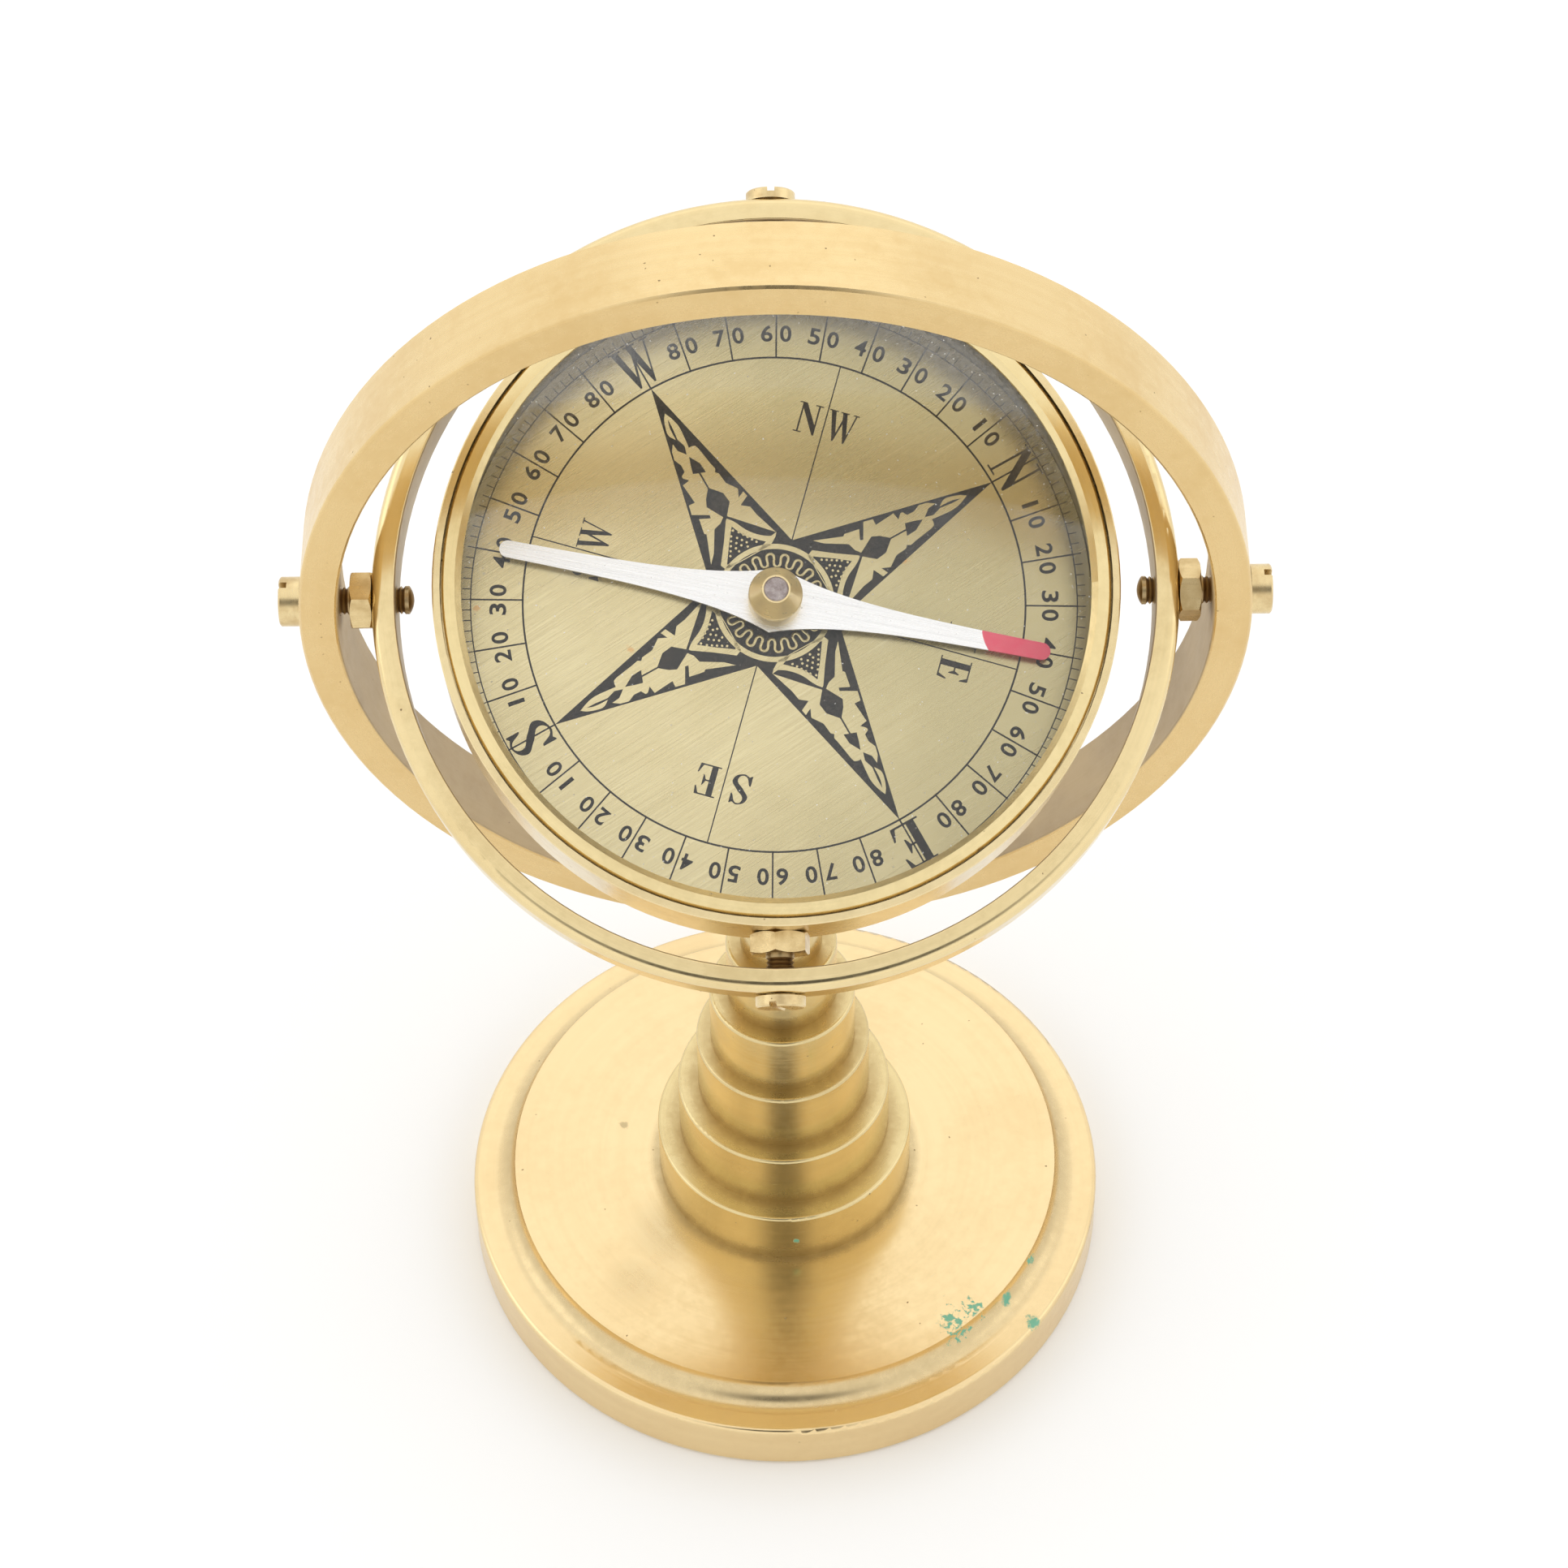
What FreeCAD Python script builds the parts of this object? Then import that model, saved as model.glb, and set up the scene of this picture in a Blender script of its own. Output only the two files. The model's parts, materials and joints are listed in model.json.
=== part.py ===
import FreeCAD, Part
import math
import os

from FreeCAD import Placement, Rotation, Vector

# Ship's compass in a gimbal, on a stepped brass stand.  Millimetres, +Z up.
# The origin is the centre of the base's underside.  X runs along the outer pivots,
# -Y is the front.  Four rigid groups: stand, gimbal ring, compass bowl and needle.
# Each piece is modelled in the frame of its group and then placed as it rests.

# ---- how the moving groups rest ----
GIMBAL_TILT = 31.0        # degrees about X, the rear side raised
BOWL_SWING = 1.7          # degrees about the ring's front-rear axis, right side lowered
NEEDLE_HEADING = -11.5    # degrees about the bowl's axis, from the right-hand pivot

# ---- base ----
BASE_R = 42.0
RIM_H = 7.65              # top of the outer rim
RIM_ROUND = 0.7
SHOULDER_R = 39.4         # inner end of the flat shoulder, where the cove starts
SHOULDER_RISE = 0.15
PLATEAU_R = 36.3
BASE_H = 10.7
FOOT_CHAMFER = 0.6
RECESS_R = 33.0           # shallow turned recess in the underside
RECESS_H = 1.2

# ---- column: six turned steps, from the foot up ----
STEP_RADII = (16.8, 13.9, 11.25, 9.4, 7.1, 5.2)
STEP_TOPS = (19.3, 28.3, 38.2, 48.0, 57.9)
STEP_ROUND = 0.45
SPIGOT_R = 6.0            # locates the column in the base
SPIGOT_H = 3.0

# ---- bolt and washer under the base ----
BOLT_R = 2.5
BOLT_FLATS = 8.0
BOLT_HEAD_H = 2.8
BOLT_REACH = 22.0         # height of the bolt's tip
WASHER_R = 6.2
WASHER_T = 1.0
COUNTERBORE_R = 7.0
COUNTERBORE_TOP = 5.2

# ---- outer ring, upright ----
RING_R = 55.0
RING_BORE_R = 50.6
RING_W = 10.4
RING_EDGE = 0.3
RING_Z = 123.2            # height of the pivots, the centre of every ring

# ---- countersunk screw that holds the outer ring on the column ----
RING_SCREW_R = 2.0
RING_SCREW_HEAD_R = 3.6
RING_SCREW_LENGTH = 14.0

# ---- gimbal ring ----
GIMBAL_R = 46.8
GIMBAL_BORE_R = 44.0
GIMBAL_W = 7.2
GIMBAL_OUTER_ROUND = 1.2
GIMBAL_INNER_ROUND = 0.25

# ---- pivot screws and their lock nuts ----
SHANK_R = 1.65
RUNNING_GAP = 0.05        # radial clearance of a shank that turns in its hole
END_GAP = 0.15            # between a screw head and the ring that turns under it
HEAD_R = 2.9
HEAD_H = 2.45
HEAD_CHAMFER = 0.2
SLOT_W = 0.85
SLOT_DEPTH = 0.95
END_HEAD_H = 1.3          # the front and rear screws have lower heads
END_SLOT_DEPTH = 0.55
THREAD_PITCH = 0.5
THREAD_DEPTH = 0.28
DOME_H = 0.55             # rounded end of a side screw
SIDE_SCREW_TIP = 42.0     # distance of the left and right tips from the centre
WALL_BITE = 2.0           # how far the front and rear screws enter the bowl's wall
NUT_FLATS = 6.4
NUT_T = 2.5

# ---- compass bowl, heights along its own axis from the pivot line ----
BOWL_R = 39.6
RIM_TOP = 7.0
RIM_BORE_R = 38.7         # thin lip round the bezel
BOWL_BORE_R = 37.4
SEAT_Z = 4.1              # step that carries the glass
FLOOR_Z = -5.6
FLOOR_T = 1.2
BOWL_ROUND = 1.5
GLASS_R = 38.5
GLASS_T = 1.2
GASKET_T = 0.3
BEZEL_R = 38.5
BEZEL_BORE_R = 36.3
BEZEL_CHAMFER = 0.7
DIAL_R = 37.3
DIAL_T = 0.8
DIAL_HOLE_R = 1.5

# ---- pivot of the needle ----
POST_R = 1.5              # brass post through the dial and the floor
POST_COLLAR_R = 2.6
POST_COLLAR_H = 0.4
POST_TAIL = 3.0           # length below the floor
POST_NUT_FLATS = 5.5
POST_NUT_T = 2.0
PIN_R = 0.6
PIN_TIP_Z = 2.3
PIN_POINT_H = 1.4
PIN_ROOT = 1.5            # how deep the pin sits in its post

# ---- needle ----
NEEDLE_HALF = 32.8
NEEDLE_HALF_W = 3.9
NEEDLE_TIP_HALF_W = 0.95
NEEDLE_WAIST = 8.0        # length over which the blade's width falls towards the tip's
NEEDLE_T = 0.5
NEEDLE_Z = -3.5           # underside of the blade
CAP_R = 3.15
CAP_SKIRT_H = 3.9
CAP_GROOVE_Z = 0.35       # shallow line turned below the cone
CAP_TOP_R = 1.65
CAP_TOP_Z = 3.8
CAP_SPIGOT_R = 2.2
CAP_SPIGOT_DROP = 0.6
CAP_BORE_R = 1.3
CAP_WASHER_R = 3.0
CAP_WASHER_T = 0.4
JEWEL_R = 1.45
JEWEL_Z = 1.9
JEWEL_TOP_Z = 3.9
JEWEL_CUP_R = 0.9

ORIGIN = Vector(0, 0, 0)
X_AXIS = Vector(1, 0, 0)
Y_AXIS = Vector(0, 1, 0)
Z_AXIS = Vector(0, 0, 1)

# ---- frames of the groups ----
STAND = Placement()
GIMBAL = Placement(Vector(0, 0, RING_Z), Rotation(X_AXIS, GIMBAL_TILT))
BOWL = GIMBAL.multiply(Placement(ORIGIN, Rotation(Y_AXIS, BOWL_SWING)))
NEEDLE = BOWL.multiply(Placement(ORIGIN, Rotation(Z_AXIS, NEEDLE_HEADING)))

# A piece modelled along +Z is laid along one of the four pivot directions.
TO_RIGHT = Rotation(Y_AXIS, 90)
RIGHT = Placement(ORIGIN, TO_RIGHT)
LEFT = Placement(ORIGIN, Rotation(Z_AXIS, 180).multiply(TO_RIGHT))
REAR = Placement(ORIGIN, Rotation(Z_AXIS, 90).multiply(TO_RIGHT))
FRONT = Placement(ORIGIN, Rotation(Z_AXIS, -90).multiply(TO_RIGHT))


def outline(start, *steps):
    """Face of a closed outline in the XZ plane, from (x, z) points.

    A step is the next corner, or a pair (middle, end) for an arc through the middle.
    """
    edges = []
    here = Vector(start[0], 0, start[1])
    first = here
    for step in steps:
        if isinstance(step[0], tuple):
            middle = Vector(step[0][0], 0, step[0][1])
            end = Vector(step[1][0], 0, step[1][1])
            edges.append(Part.Arc(here, middle, end).toShape())
        else:
            end = Vector(step[0], 0, step[1])
            edges.append(Part.LineSegment(here, end).toShape())
        here = end
    edges.append(Part.LineSegment(here, first).toShape())
    return Part.Face(Part.Wire(edges))


def turned(start, *steps):
    """Solid of revolution about Z, from an outline of (radius, height) points."""
    return outline(start, *steps).revolve(ORIGIN, Z_AXIS, 360)


def cylinder(radius, bottom, top, x=0.0, y=0.0):
    """Upright cylinder between two heights."""
    return Part.makeCylinder(radius, top - bottom, Vector(x, y, bottom))


def ring(outer, inner, bottom, top):
    """Plain ring about Z."""
    return cylinder(outer, bottom, top).cut(cylinder(inner, bottom, top))


def circle_edges(shape, radius):
    """The circular edges of a shape that have this radius."""
    found = []
    for edge in shape.Edges:
        is_circle = isinstance(edge.Curve, Part.Circle)
        if is_circle and abs(edge.Curve.Radius - radius) < 1e-6:
            found.append(edge)
    return found


def hexagon(across_flats, bottom, top):
    """Hexagonal prism about Z, with one flat facing +X."""
    corner_r = across_flats / math.sqrt(3)
    corners = []
    for k in range(7):
        angle = math.radians(30 + 60 * k)
        corners.append(Vector(corner_r * math.cos(angle), corner_r * math.sin(angle), bottom))
    return Part.Face(Part.makePolygon(corners)).extrude(Vector(0, 0, top - bottom))


def hex_nut(across_flats, bore_r, bottom, top):
    """Hexagonal nut about Z with its corners chamfered at both faces."""
    flat_r = across_flats / 2
    corner_r = across_flats / math.sqrt(3) + 0.01
    fall = (corner_r - flat_r) * math.tan(math.radians(30))
    envelope = turned((0, bottom), (flat_r, bottom), (corner_r, bottom + fall),
                      (corner_r, top - fall), (flat_r, top), (0, top))
    body = hexagon(across_flats, bottom, top).common(envelope)
    return body.cut(cylinder(bore_r, bottom, top))


def thread(start, end):
    """Outline points of the fine thread between two distances along a pivot screw.

    The distances run inward, so that end is smaller than start.
    """
    turns = int((start - end) / THREAD_PITCH)
    points = []
    for k in range(turns):
        crest = start - k * THREAD_PITCH
        points.append((SHANK_R, crest))
        points.append((SHANK_R - THREAD_DEPTH, crest - THREAD_PITCH / 2))
    points.append((SHANK_R, start - turns * THREAD_PITCH))
    return points


def pivot_screw(under_head, tip, bare, slot_turn, head_h, slot_depth, domed):
    """Slotted cheese-head screw about Z with its head outermost.

    Distances are measured from the centre of the rings.  bare lists the stretches of
    shank that show, which carry the thread.  slot_turn sets the slot about the axis.
    """
    top = under_head + head_h
    points = [(HEAD_R - HEAD_CHAMFER, top), (HEAD_R, top - HEAD_CHAMFER)]
    points += [(HEAD_R, under_head), (SHANK_R, under_head)]
    for start, end in bare:
        points += thread(start, end)
    if domed:
        sphere_r = (SHANK_R ** 2 + DOME_H ** 2) / (2 * DOME_H)
        middle_r = SHANK_R / 2
        middle = tip + sphere_r - math.sqrt(sphere_r ** 2 - middle_r ** 2)
        points += [(SHANK_R, tip + DOME_H), ((middle_r, middle), (0, tip))]
    else:
        points += [(SHANK_R, tip), (0, tip)]
    body = turned((0, top), *points)
    slot = Part.makeBox(SLOT_W, 2 * HEAD_R + 1, slot_depth + 1,
                        Vector(-SLOT_W / 2, -HEAD_R - 0.5, top - slot_depth))
    slot.rotate(ORIGIN, Z_AXIS, slot_turn)
    return body.cut(slot)


def save(name, shape, frame):
    """Write one piece, placed in its group's frame, and report its volume."""
    placed = shape.copy()
    placed.Placement = frame.multiply(placed.Placement)
    if not placed.isValid():
        raise ValueError(f"{name} is not a valid shape")
    placed.exportStep(f"parts/{name}.step")
    print(f"{name:20s} {len(placed.Solids)} solid {placed.Volume:10.1f} mm3")


def laid(shape, direction):
    """Copy of a piece modelled along +Z, laid along a pivot direction."""
    copy = shape.copy()
    copy.Placement = direction.multiply(copy.Placement)
    return copy


# ---------------------------------------------------------------- stand

def make_base():
    """Turned disc with a rounded rim, a cove and a flat plateau."""
    round_45 = RIM_ROUND * (1 - math.sqrt(0.5))
    cove_r = SHOULDER_R - PLATEAU_R
    cove_45 = cove_r * math.sqrt(0.5)
    body = turned((0, RECESS_H), (RECESS_R, RECESS_H), (RECESS_R, 0),
                  (BASE_R - FOOT_CHAMFER, 0), (BASE_R, FOOT_CHAMFER),
                  (BASE_R, RIM_H - RIM_ROUND),
                  ((BASE_R - round_45, RIM_H - round_45), (BASE_R - RIM_ROUND, RIM_H)),
                  (SHOULDER_R, RIM_H + SHOULDER_RISE),
                  ((SHOULDER_R - cove_45, BASE_H - cove_45 * 0.95), (PLATEAU_R, BASE_H)),
                  (0, BASE_H))
    body = body.cut(cylinder(COUNTERBORE_R, 0, COUNTERBORE_TOP))
    body = body.cut(cylinder(BOLT_R, 0, BASE_H))
    return body.cut(cylinder(SPIGOT_R, BASE_H - SPIGOT_H, BASE_H))


def make_column():
    """Six stacked steps turned from one bar, saddled on top to carry the outer ring."""
    top = RING_Z - RING_R + 0.5
    corners = []
    height = BASE_H
    for radius, step_top in zip(STEP_RADII, STEP_TOPS + (top,)):
        corners.append((radius, height))
        if step_top != top:
            inset = STEP_ROUND * (1 - math.sqrt(0.5))
            corners.append((radius, step_top - STEP_ROUND))
            corners.append(((radius - inset, step_top - inset), (radius - STEP_ROUND, step_top)))
        else:
            corners.append((radius, step_top))
        height = step_top
    spigot_bottom = BASE_H - SPIGOT_H
    body = turned((0, spigot_bottom), (SPIGOT_R, spigot_bottom), (SPIGOT_R, BASE_H),
                  *corners, (0, top))
    saddle = Part.makeCylinder(RING_R, RING_W * 2, Vector(0, -RING_W, RING_Z), Y_AXIS)
    body = body.cut(saddle)
    body = body.cut(cylinder(BOLT_R, spigot_bottom, BOLT_REACH))
    ring_screw_tip = RING_Z - RING_BORE_R - RING_SCREW_LENGTH
    return body.cut(cylinder(RING_SCREW_R, ring_screw_tip, top))


def make_base_washer():
    """Plain washer between the bolt's head and the base."""
    return ring(WASHER_R, BOLT_R, COUNTERBORE_TOP - WASHER_T, COUNTERBORE_TOP)


def make_base_bolt():
    """Hexagon bolt that pulls the column down on the base."""
    seat = COUNTERBORE_TOP - WASHER_T
    head = hex_nut(BOLT_FLATS, BOLT_R, seat - BOLT_HEAD_H, seat)
    return head.fuse(cylinder(BOLT_R, seat - BOLT_HEAD_H, BOLT_REACH)).removeSplitter()


def make_outer_ring():
    """Flat-sided upright ring with two pivot holes and a countersunk hole at its foot."""
    half = RING_W / 2
    edge = RING_EDGE
    body = turned((RING_BORE_R, -half + edge), (RING_BORE_R + edge, -half),
                  (RING_R - edge, -half), (RING_R, -half + edge),
                  (RING_R, half - edge), (RING_R - edge, half),
                  (RING_BORE_R + edge, half), (RING_BORE_R, half - edge))
    body.rotate(ORIGIN, X_AXIS, 90)
    body.translate(Vector(0, 0, RING_Z))
    pivots = Part.makeCylinder(SHANK_R + RUNNING_GAP, 4 * RING_R,
                               Vector(-2 * RING_R, 0, RING_Z), X_AXIS)
    return body.cut(pivots).cut(ring_screw_blank())


def ring_screw_blank():
    """Countersunk head and shank of the ring screw, pointing down from the bore."""
    head_top = RING_Z - RING_BORE_R
    cone = RING_SCREW_HEAD_R - RING_SCREW_R
    return turned((0, head_top - RING_SCREW_LENGTH), (RING_SCREW_R, head_top - RING_SCREW_LENGTH),
                  (RING_SCREW_R, head_top - cone), (RING_SCREW_HEAD_R, head_top),
                  (RING_SCREW_HEAD_R, head_top + 0.3), (0, head_top + 0.3))


def make_ring_screw():
    """Slotted countersunk screw, flush with the bore of the outer ring."""
    head_top = RING_Z - RING_BORE_R
    body = ring_screw_blank().common(cylinder(RING_R, 0, head_top))
    slot = Part.makeBox(2 * RING_SCREW_HEAD_R, SLOT_W, SLOT_DEPTH,
                        Vector(-RING_SCREW_HEAD_R, -SLOT_W / 2, head_top - SLOT_DEPTH))
    return body.cut(slot)


# ---------------------------------------------------------------- gimbal ring

def make_gimbal_ring():
    """Middle ring: side screws are threaded in it, front and rear screws turn in it."""
    body = ring(GIMBAL_R, GIMBAL_BORE_R, -GIMBAL_W / 2, GIMBAL_W / 2)
    body = body.makeFillet(GIMBAL_OUTER_ROUND, circle_edges(body, GIMBAL_R))
    body = body.makeFillet(GIMBAL_INNER_ROUND, circle_edges(body, GIMBAL_BORE_R))
    side_holes = Part.makeCylinder(SHANK_R, 4 * GIMBAL_R, Vector(-2 * GIMBAL_R, 0, 0), X_AXIS)
    end_holes = Part.makeCylinder(SHANK_R + RUNNING_GAP, 4 * GIMBAL_R,
                                  Vector(0, -2 * GIMBAL_R, 0), Y_AXIS)
    return body.cut(side_holes).cut(end_holes)


def make_side_screw(slot_turn):
    """Screw that hangs the gimbal ring in the outer ring."""
    nut_face = GIMBAL_R + NUT_T
    shows = ((RING_BORE_R, nut_face), (GIMBAL_BORE_R, SIDE_SCREW_TIP + DOME_H))
    return pivot_screw(RING_R + END_GAP, SIDE_SCREW_TIP, shows, slot_turn,
                       HEAD_H, SLOT_DEPTH, True)


def make_side_nut(turn):
    """Lock nut against the outside of the gimbal ring."""
    nut = hex_nut(NUT_FLATS, SHANK_R, GIMBAL_R, GIMBAL_R + NUT_T)
    nut.rotate(ORIGIN, Z_AXIS, turn)
    return nut


# ---------------------------------------------------------------- compass bowl

def make_bowl_cup():
    """Shallow turned cup with a thin lip, a seat for the glass and two blind holes."""
    bottom = FLOOR_Z - FLOOR_T
    inset = BOWL_ROUND * (1 - math.sqrt(0.5))
    body = turned((0, bottom), (BOWL_R - BOWL_ROUND, bottom),
                  ((BOWL_R - inset, bottom + inset), (BOWL_R, bottom + BOWL_ROUND)),
                  (BOWL_R, RIM_TOP - 0.15), (BOWL_R - 0.15, RIM_TOP), (RIM_BORE_R, RIM_TOP),
                  (RIM_BORE_R, SEAT_Z), (BOWL_BORE_R, SEAT_Z), (BOWL_BORE_R, FLOOR_Z),
                  (0, FLOOR_Z))
    tips = BOWL_R - WALL_BITE
    for side in (-1, 1):
        start = Vector(0, side * tips, 0)
        body = body.cut(Part.makeCylinder(SHANK_R, 2 * WALL_BITE, start, Vector(0, side, 0)))
    return body.cut(cylinder(POST_R, bottom, FLOOR_Z))


def make_glass_gasket():
    """Thin ring that beds the glass on its seat."""
    return ring(GLASS_R, BOWL_BORE_R, SEAT_Z, SEAT_Z + GASKET_T)


def make_glass():
    """Flat cover glass."""
    bottom = SEAT_Z + GASKET_T
    return cylinder(GLASS_R, bottom, bottom + GLASS_T)


def make_bezel_ring():
    """Ring inside the lip that holds the glass down, chamfered round its opening."""
    bottom = SEAT_Z + GASKET_T + GLASS_T
    top = RIM_TOP - 0.1
    return turned((BEZEL_BORE_R, bottom), (BEZEL_R, bottom), (BEZEL_R, top - 0.25),
                  (BEZEL_R - 0.25, top), (BEZEL_BORE_R + BEZEL_CHAMFER, top),
                  (BEZEL_BORE_R, top - BEZEL_CHAMFER))


def make_dial_plate():
    """Engraved dial: a thin disc lying on the bowl's floor."""
    return ring(DIAL_R, DIAL_HOLE_R, FLOOR_Z, FLOOR_Z + DIAL_T)


def make_pivot_post():
    """Shouldered post that clamps the dial on the floor and carries the pin."""
    face = FLOOR_Z + DIAL_T
    foot = FLOOR_Z - FLOOR_T - POST_TAIL
    body = turned((0, foot), (POST_R - 0.2, foot), (POST_R, foot + 0.2), (POST_R, face),
                  (POST_COLLAR_R, face), (POST_COLLAR_R, face + POST_COLLAR_H - 0.2),
                  (POST_COLLAR_R - 0.2, face + POST_COLLAR_H), (0, face + POST_COLLAR_H))
    return body.cut(cylinder(PIN_R, face - PIN_ROOT, face + POST_COLLAR_H))


def make_post_nut():
    """Nut on the post, under the bowl's floor."""
    top = FLOOR_Z - FLOOR_T
    return hex_nut(POST_NUT_FLATS, POST_R, top - POST_NUT_T, top)


def make_pivot_pin():
    """Pointed steel pin that the needle's jewel rests on."""
    foot = FLOOR_Z + DIAL_T - PIN_ROOT
    return turned((0, foot), (PIN_R, foot), (PIN_R, PIN_TIP_Z - PIN_POINT_H),
                  (0.05, PIN_TIP_Z), (0, PIN_TIP_Z))


def make_end_screw(slot_turn):
    """Screw that hangs the bowl in the gimbal ring."""
    shows = ((GIMBAL_BORE_R, BOWL_R + NUT_T),)
    return pivot_screw(GIMBAL_R + END_GAP, BOWL_R - WALL_BITE, shows, slot_turn,
                       END_HEAD_H, END_SLOT_DEPTH, False)


def make_end_nut(turn):
    """Lock nut against the wall of the bowl."""
    nut = hex_nut(NUT_FLATS, SHANK_R, BOWL_R, BOWL_R + NUT_T)
    nut.rotate(ORIGIN, Z_AXIS, turn)
    return nut


# ---------------------------------------------------------------- needle

def blade_half_width(x):
    """Half the blade's width at a distance from its middle: it falls off exponentially."""
    return NEEDLE_TIP_HALF_W + (NEEDLE_HALF_W - NEEDLE_TIP_HALF_W) * math.exp(-x / NEEDLE_WAIST)


def make_needle_blade():
    """Lozenge blade with hollow edges and rounded ends."""
    shoulder = NEEDLE_HALF - NEEDLE_TIP_HALF_W
    stations = 8
    edges = []
    for sx in (1, -1):
        for sy in (1, -1):
            points = []
            for k in range(stations + 1):
                x = shoulder * (k / stations) ** 1.5
                points.append(Vector(sx * x, sy * blade_half_width(x), NEEDLE_Z))
            curve = Part.BSplineCurve()
            curve.interpolate(points)
            edges.append(curve.toShape())
        half = blade_half_width(shoulder)
        upper = Vector(sx * shoulder, half, NEEDLE_Z)
        lower = Vector(sx * shoulder, -half, NEEDLE_Z)
        end = Vector(sx * NEEDLE_HALF, 0, NEEDLE_Z)
        edges.append(Part.Arc(upper, end, lower).toShape())
    outline_wire = Part.Wire(Part.__sortEdges__(edges))
    blade = Part.Face(outline_wire).extrude(Vector(0, 0, NEEDLE_T))
    return blade.cut(cylinder(CAP_SPIGOT_R, NEEDLE_Z, NEEDLE_Z + NEEDLE_T))


def make_needle_cap():
    """Brass cap: a spigot through the blade, a short skirt and a cone up to the jewel."""
    bottom = NEEDLE_Z - CAP_SPIGOT_DROP
    skirt = NEEDLE_Z + NEEDLE_T
    return turned((CAP_BORE_R, bottom), (CAP_SPIGOT_R, bottom), (CAP_SPIGOT_R, skirt),
                  (CAP_R, skirt), (CAP_R, CAP_GROOVE_Z - 0.15), (CAP_R - 0.15, CAP_GROOVE_Z),
                  (CAP_R, CAP_GROOVE_Z + 0.15), (CAP_R, skirt + CAP_SKIRT_H - 0.1),
                  (CAP_R - 0.1, skirt + CAP_SKIRT_H), (CAP_TOP_R, CAP_TOP_Z),
                  (JEWEL_R, CAP_TOP_Z), (JEWEL_R, JEWEL_Z), (CAP_BORE_R, JEWEL_Z))


def make_cap_washer():
    """Riveting washer under the blade."""
    return ring(CAP_WASHER_R, CAP_SPIGOT_R, NEEDLE_Z - CAP_WASHER_T, NEEDLE_Z)


def make_needle_jewel():
    """Jewel bearing with a conical cup over the pin's point."""
    cup_depth = PIN_TIP_Z - JEWEL_Z + RUNNING_GAP
    return turned((JEWEL_CUP_R, JEWEL_Z), (JEWEL_R, JEWEL_Z), (JEWEL_R, JEWEL_TOP_Z - 0.2),
                  (JEWEL_R - 0.2, JEWEL_TOP_Z), (0, JEWEL_TOP_Z), (0, JEWEL_Z + cup_depth),
                  (0.15, JEWEL_Z + cup_depth))


def main():
    """Write every piece of the compass."""
    os.makedirs("parts", exist_ok=True)

    save("base", make_base(), STAND)
    save("column", make_column(), STAND)
    save("base_washer", make_base_washer(), STAND)
    save("base_bolt", make_base_bolt(), STAND)
    save("outer_ring", make_outer_ring(), STAND)
    save("ring_screw", make_ring_screw(), STAND)

    save("gimbal_ring", make_gimbal_ring(), GIMBAL)
    save("left_pivot_screw", laid(make_side_screw(121), LEFT), GIMBAL)
    save("right_pivot_screw", laid(make_side_screw(59), RIGHT), GIMBAL)
    save("left_pivot_nut", laid(make_side_nut(21), LEFT), GIMBAL)
    save("right_pivot_nut", laid(make_side_nut(20), RIGHT), GIMBAL)

    save("bowl_cup", make_bowl_cup(), BOWL)
    save("glass_gasket", make_glass_gasket(), BOWL)
    save("glass", make_glass(), BOWL)
    save("bezel_ring", make_bezel_ring(), BOWL)
    save("dial_plate", make_dial_plate(), BOWL)
    save("pivot_post", make_pivot_post(), BOWL)
    save("post_nut", make_post_nut(), BOWL)
    save("pivot_pin", make_pivot_pin(), BOWL)
    save("front_pivot_screw", laid(make_end_screw(110), FRONT), BOWL)
    save("rear_pivot_screw", laid(make_end_screw(90), REAR), BOWL)
    save("front_pivot_nut", laid(make_end_nut(40), FRONT), BOWL)
    save("rear_pivot_nut", laid(make_end_nut(10), REAR), BOWL)

    save("needle_blade", make_needle_blade(), NEEDLE)
    save("needle_cap", make_needle_cap(), NEEDLE)
    save("cap_washer", make_cap_washer(), NEEDLE)
    save("needle_jewel", make_needle_jewel(), NEEDLE)


main()
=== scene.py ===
"""Ship compass hung in a gimbal on a turned brass stand: dial engraving, finishes, light and camera."""
from __future__ import annotations

import json
import logging
import math
from dataclasses import dataclass
from enum import Enum
from typing import Iterable, Sequence

import bpy
from mathutils import Euler, Matrix, Vector


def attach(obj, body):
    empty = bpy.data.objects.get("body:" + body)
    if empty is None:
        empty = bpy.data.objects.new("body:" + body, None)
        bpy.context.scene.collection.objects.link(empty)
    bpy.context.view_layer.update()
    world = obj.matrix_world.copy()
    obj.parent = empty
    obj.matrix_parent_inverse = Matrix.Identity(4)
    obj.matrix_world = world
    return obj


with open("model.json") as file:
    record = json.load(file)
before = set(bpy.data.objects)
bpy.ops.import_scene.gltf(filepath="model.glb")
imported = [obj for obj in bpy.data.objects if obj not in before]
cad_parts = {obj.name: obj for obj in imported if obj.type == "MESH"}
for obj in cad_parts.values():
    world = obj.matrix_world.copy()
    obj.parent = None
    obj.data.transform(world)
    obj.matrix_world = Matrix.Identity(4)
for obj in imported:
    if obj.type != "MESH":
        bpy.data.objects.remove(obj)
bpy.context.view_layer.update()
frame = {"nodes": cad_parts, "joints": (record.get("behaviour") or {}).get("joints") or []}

LOG = logging.getLogger("ship_compass")
MM = 0.001

Point = tuple[float, float]
Colour = tuple[float, float, float, float]


# --------------------------------------------------------------------------------------
# Axes that the parts are turned on
# --------------------------------------------------------------------------------------


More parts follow.
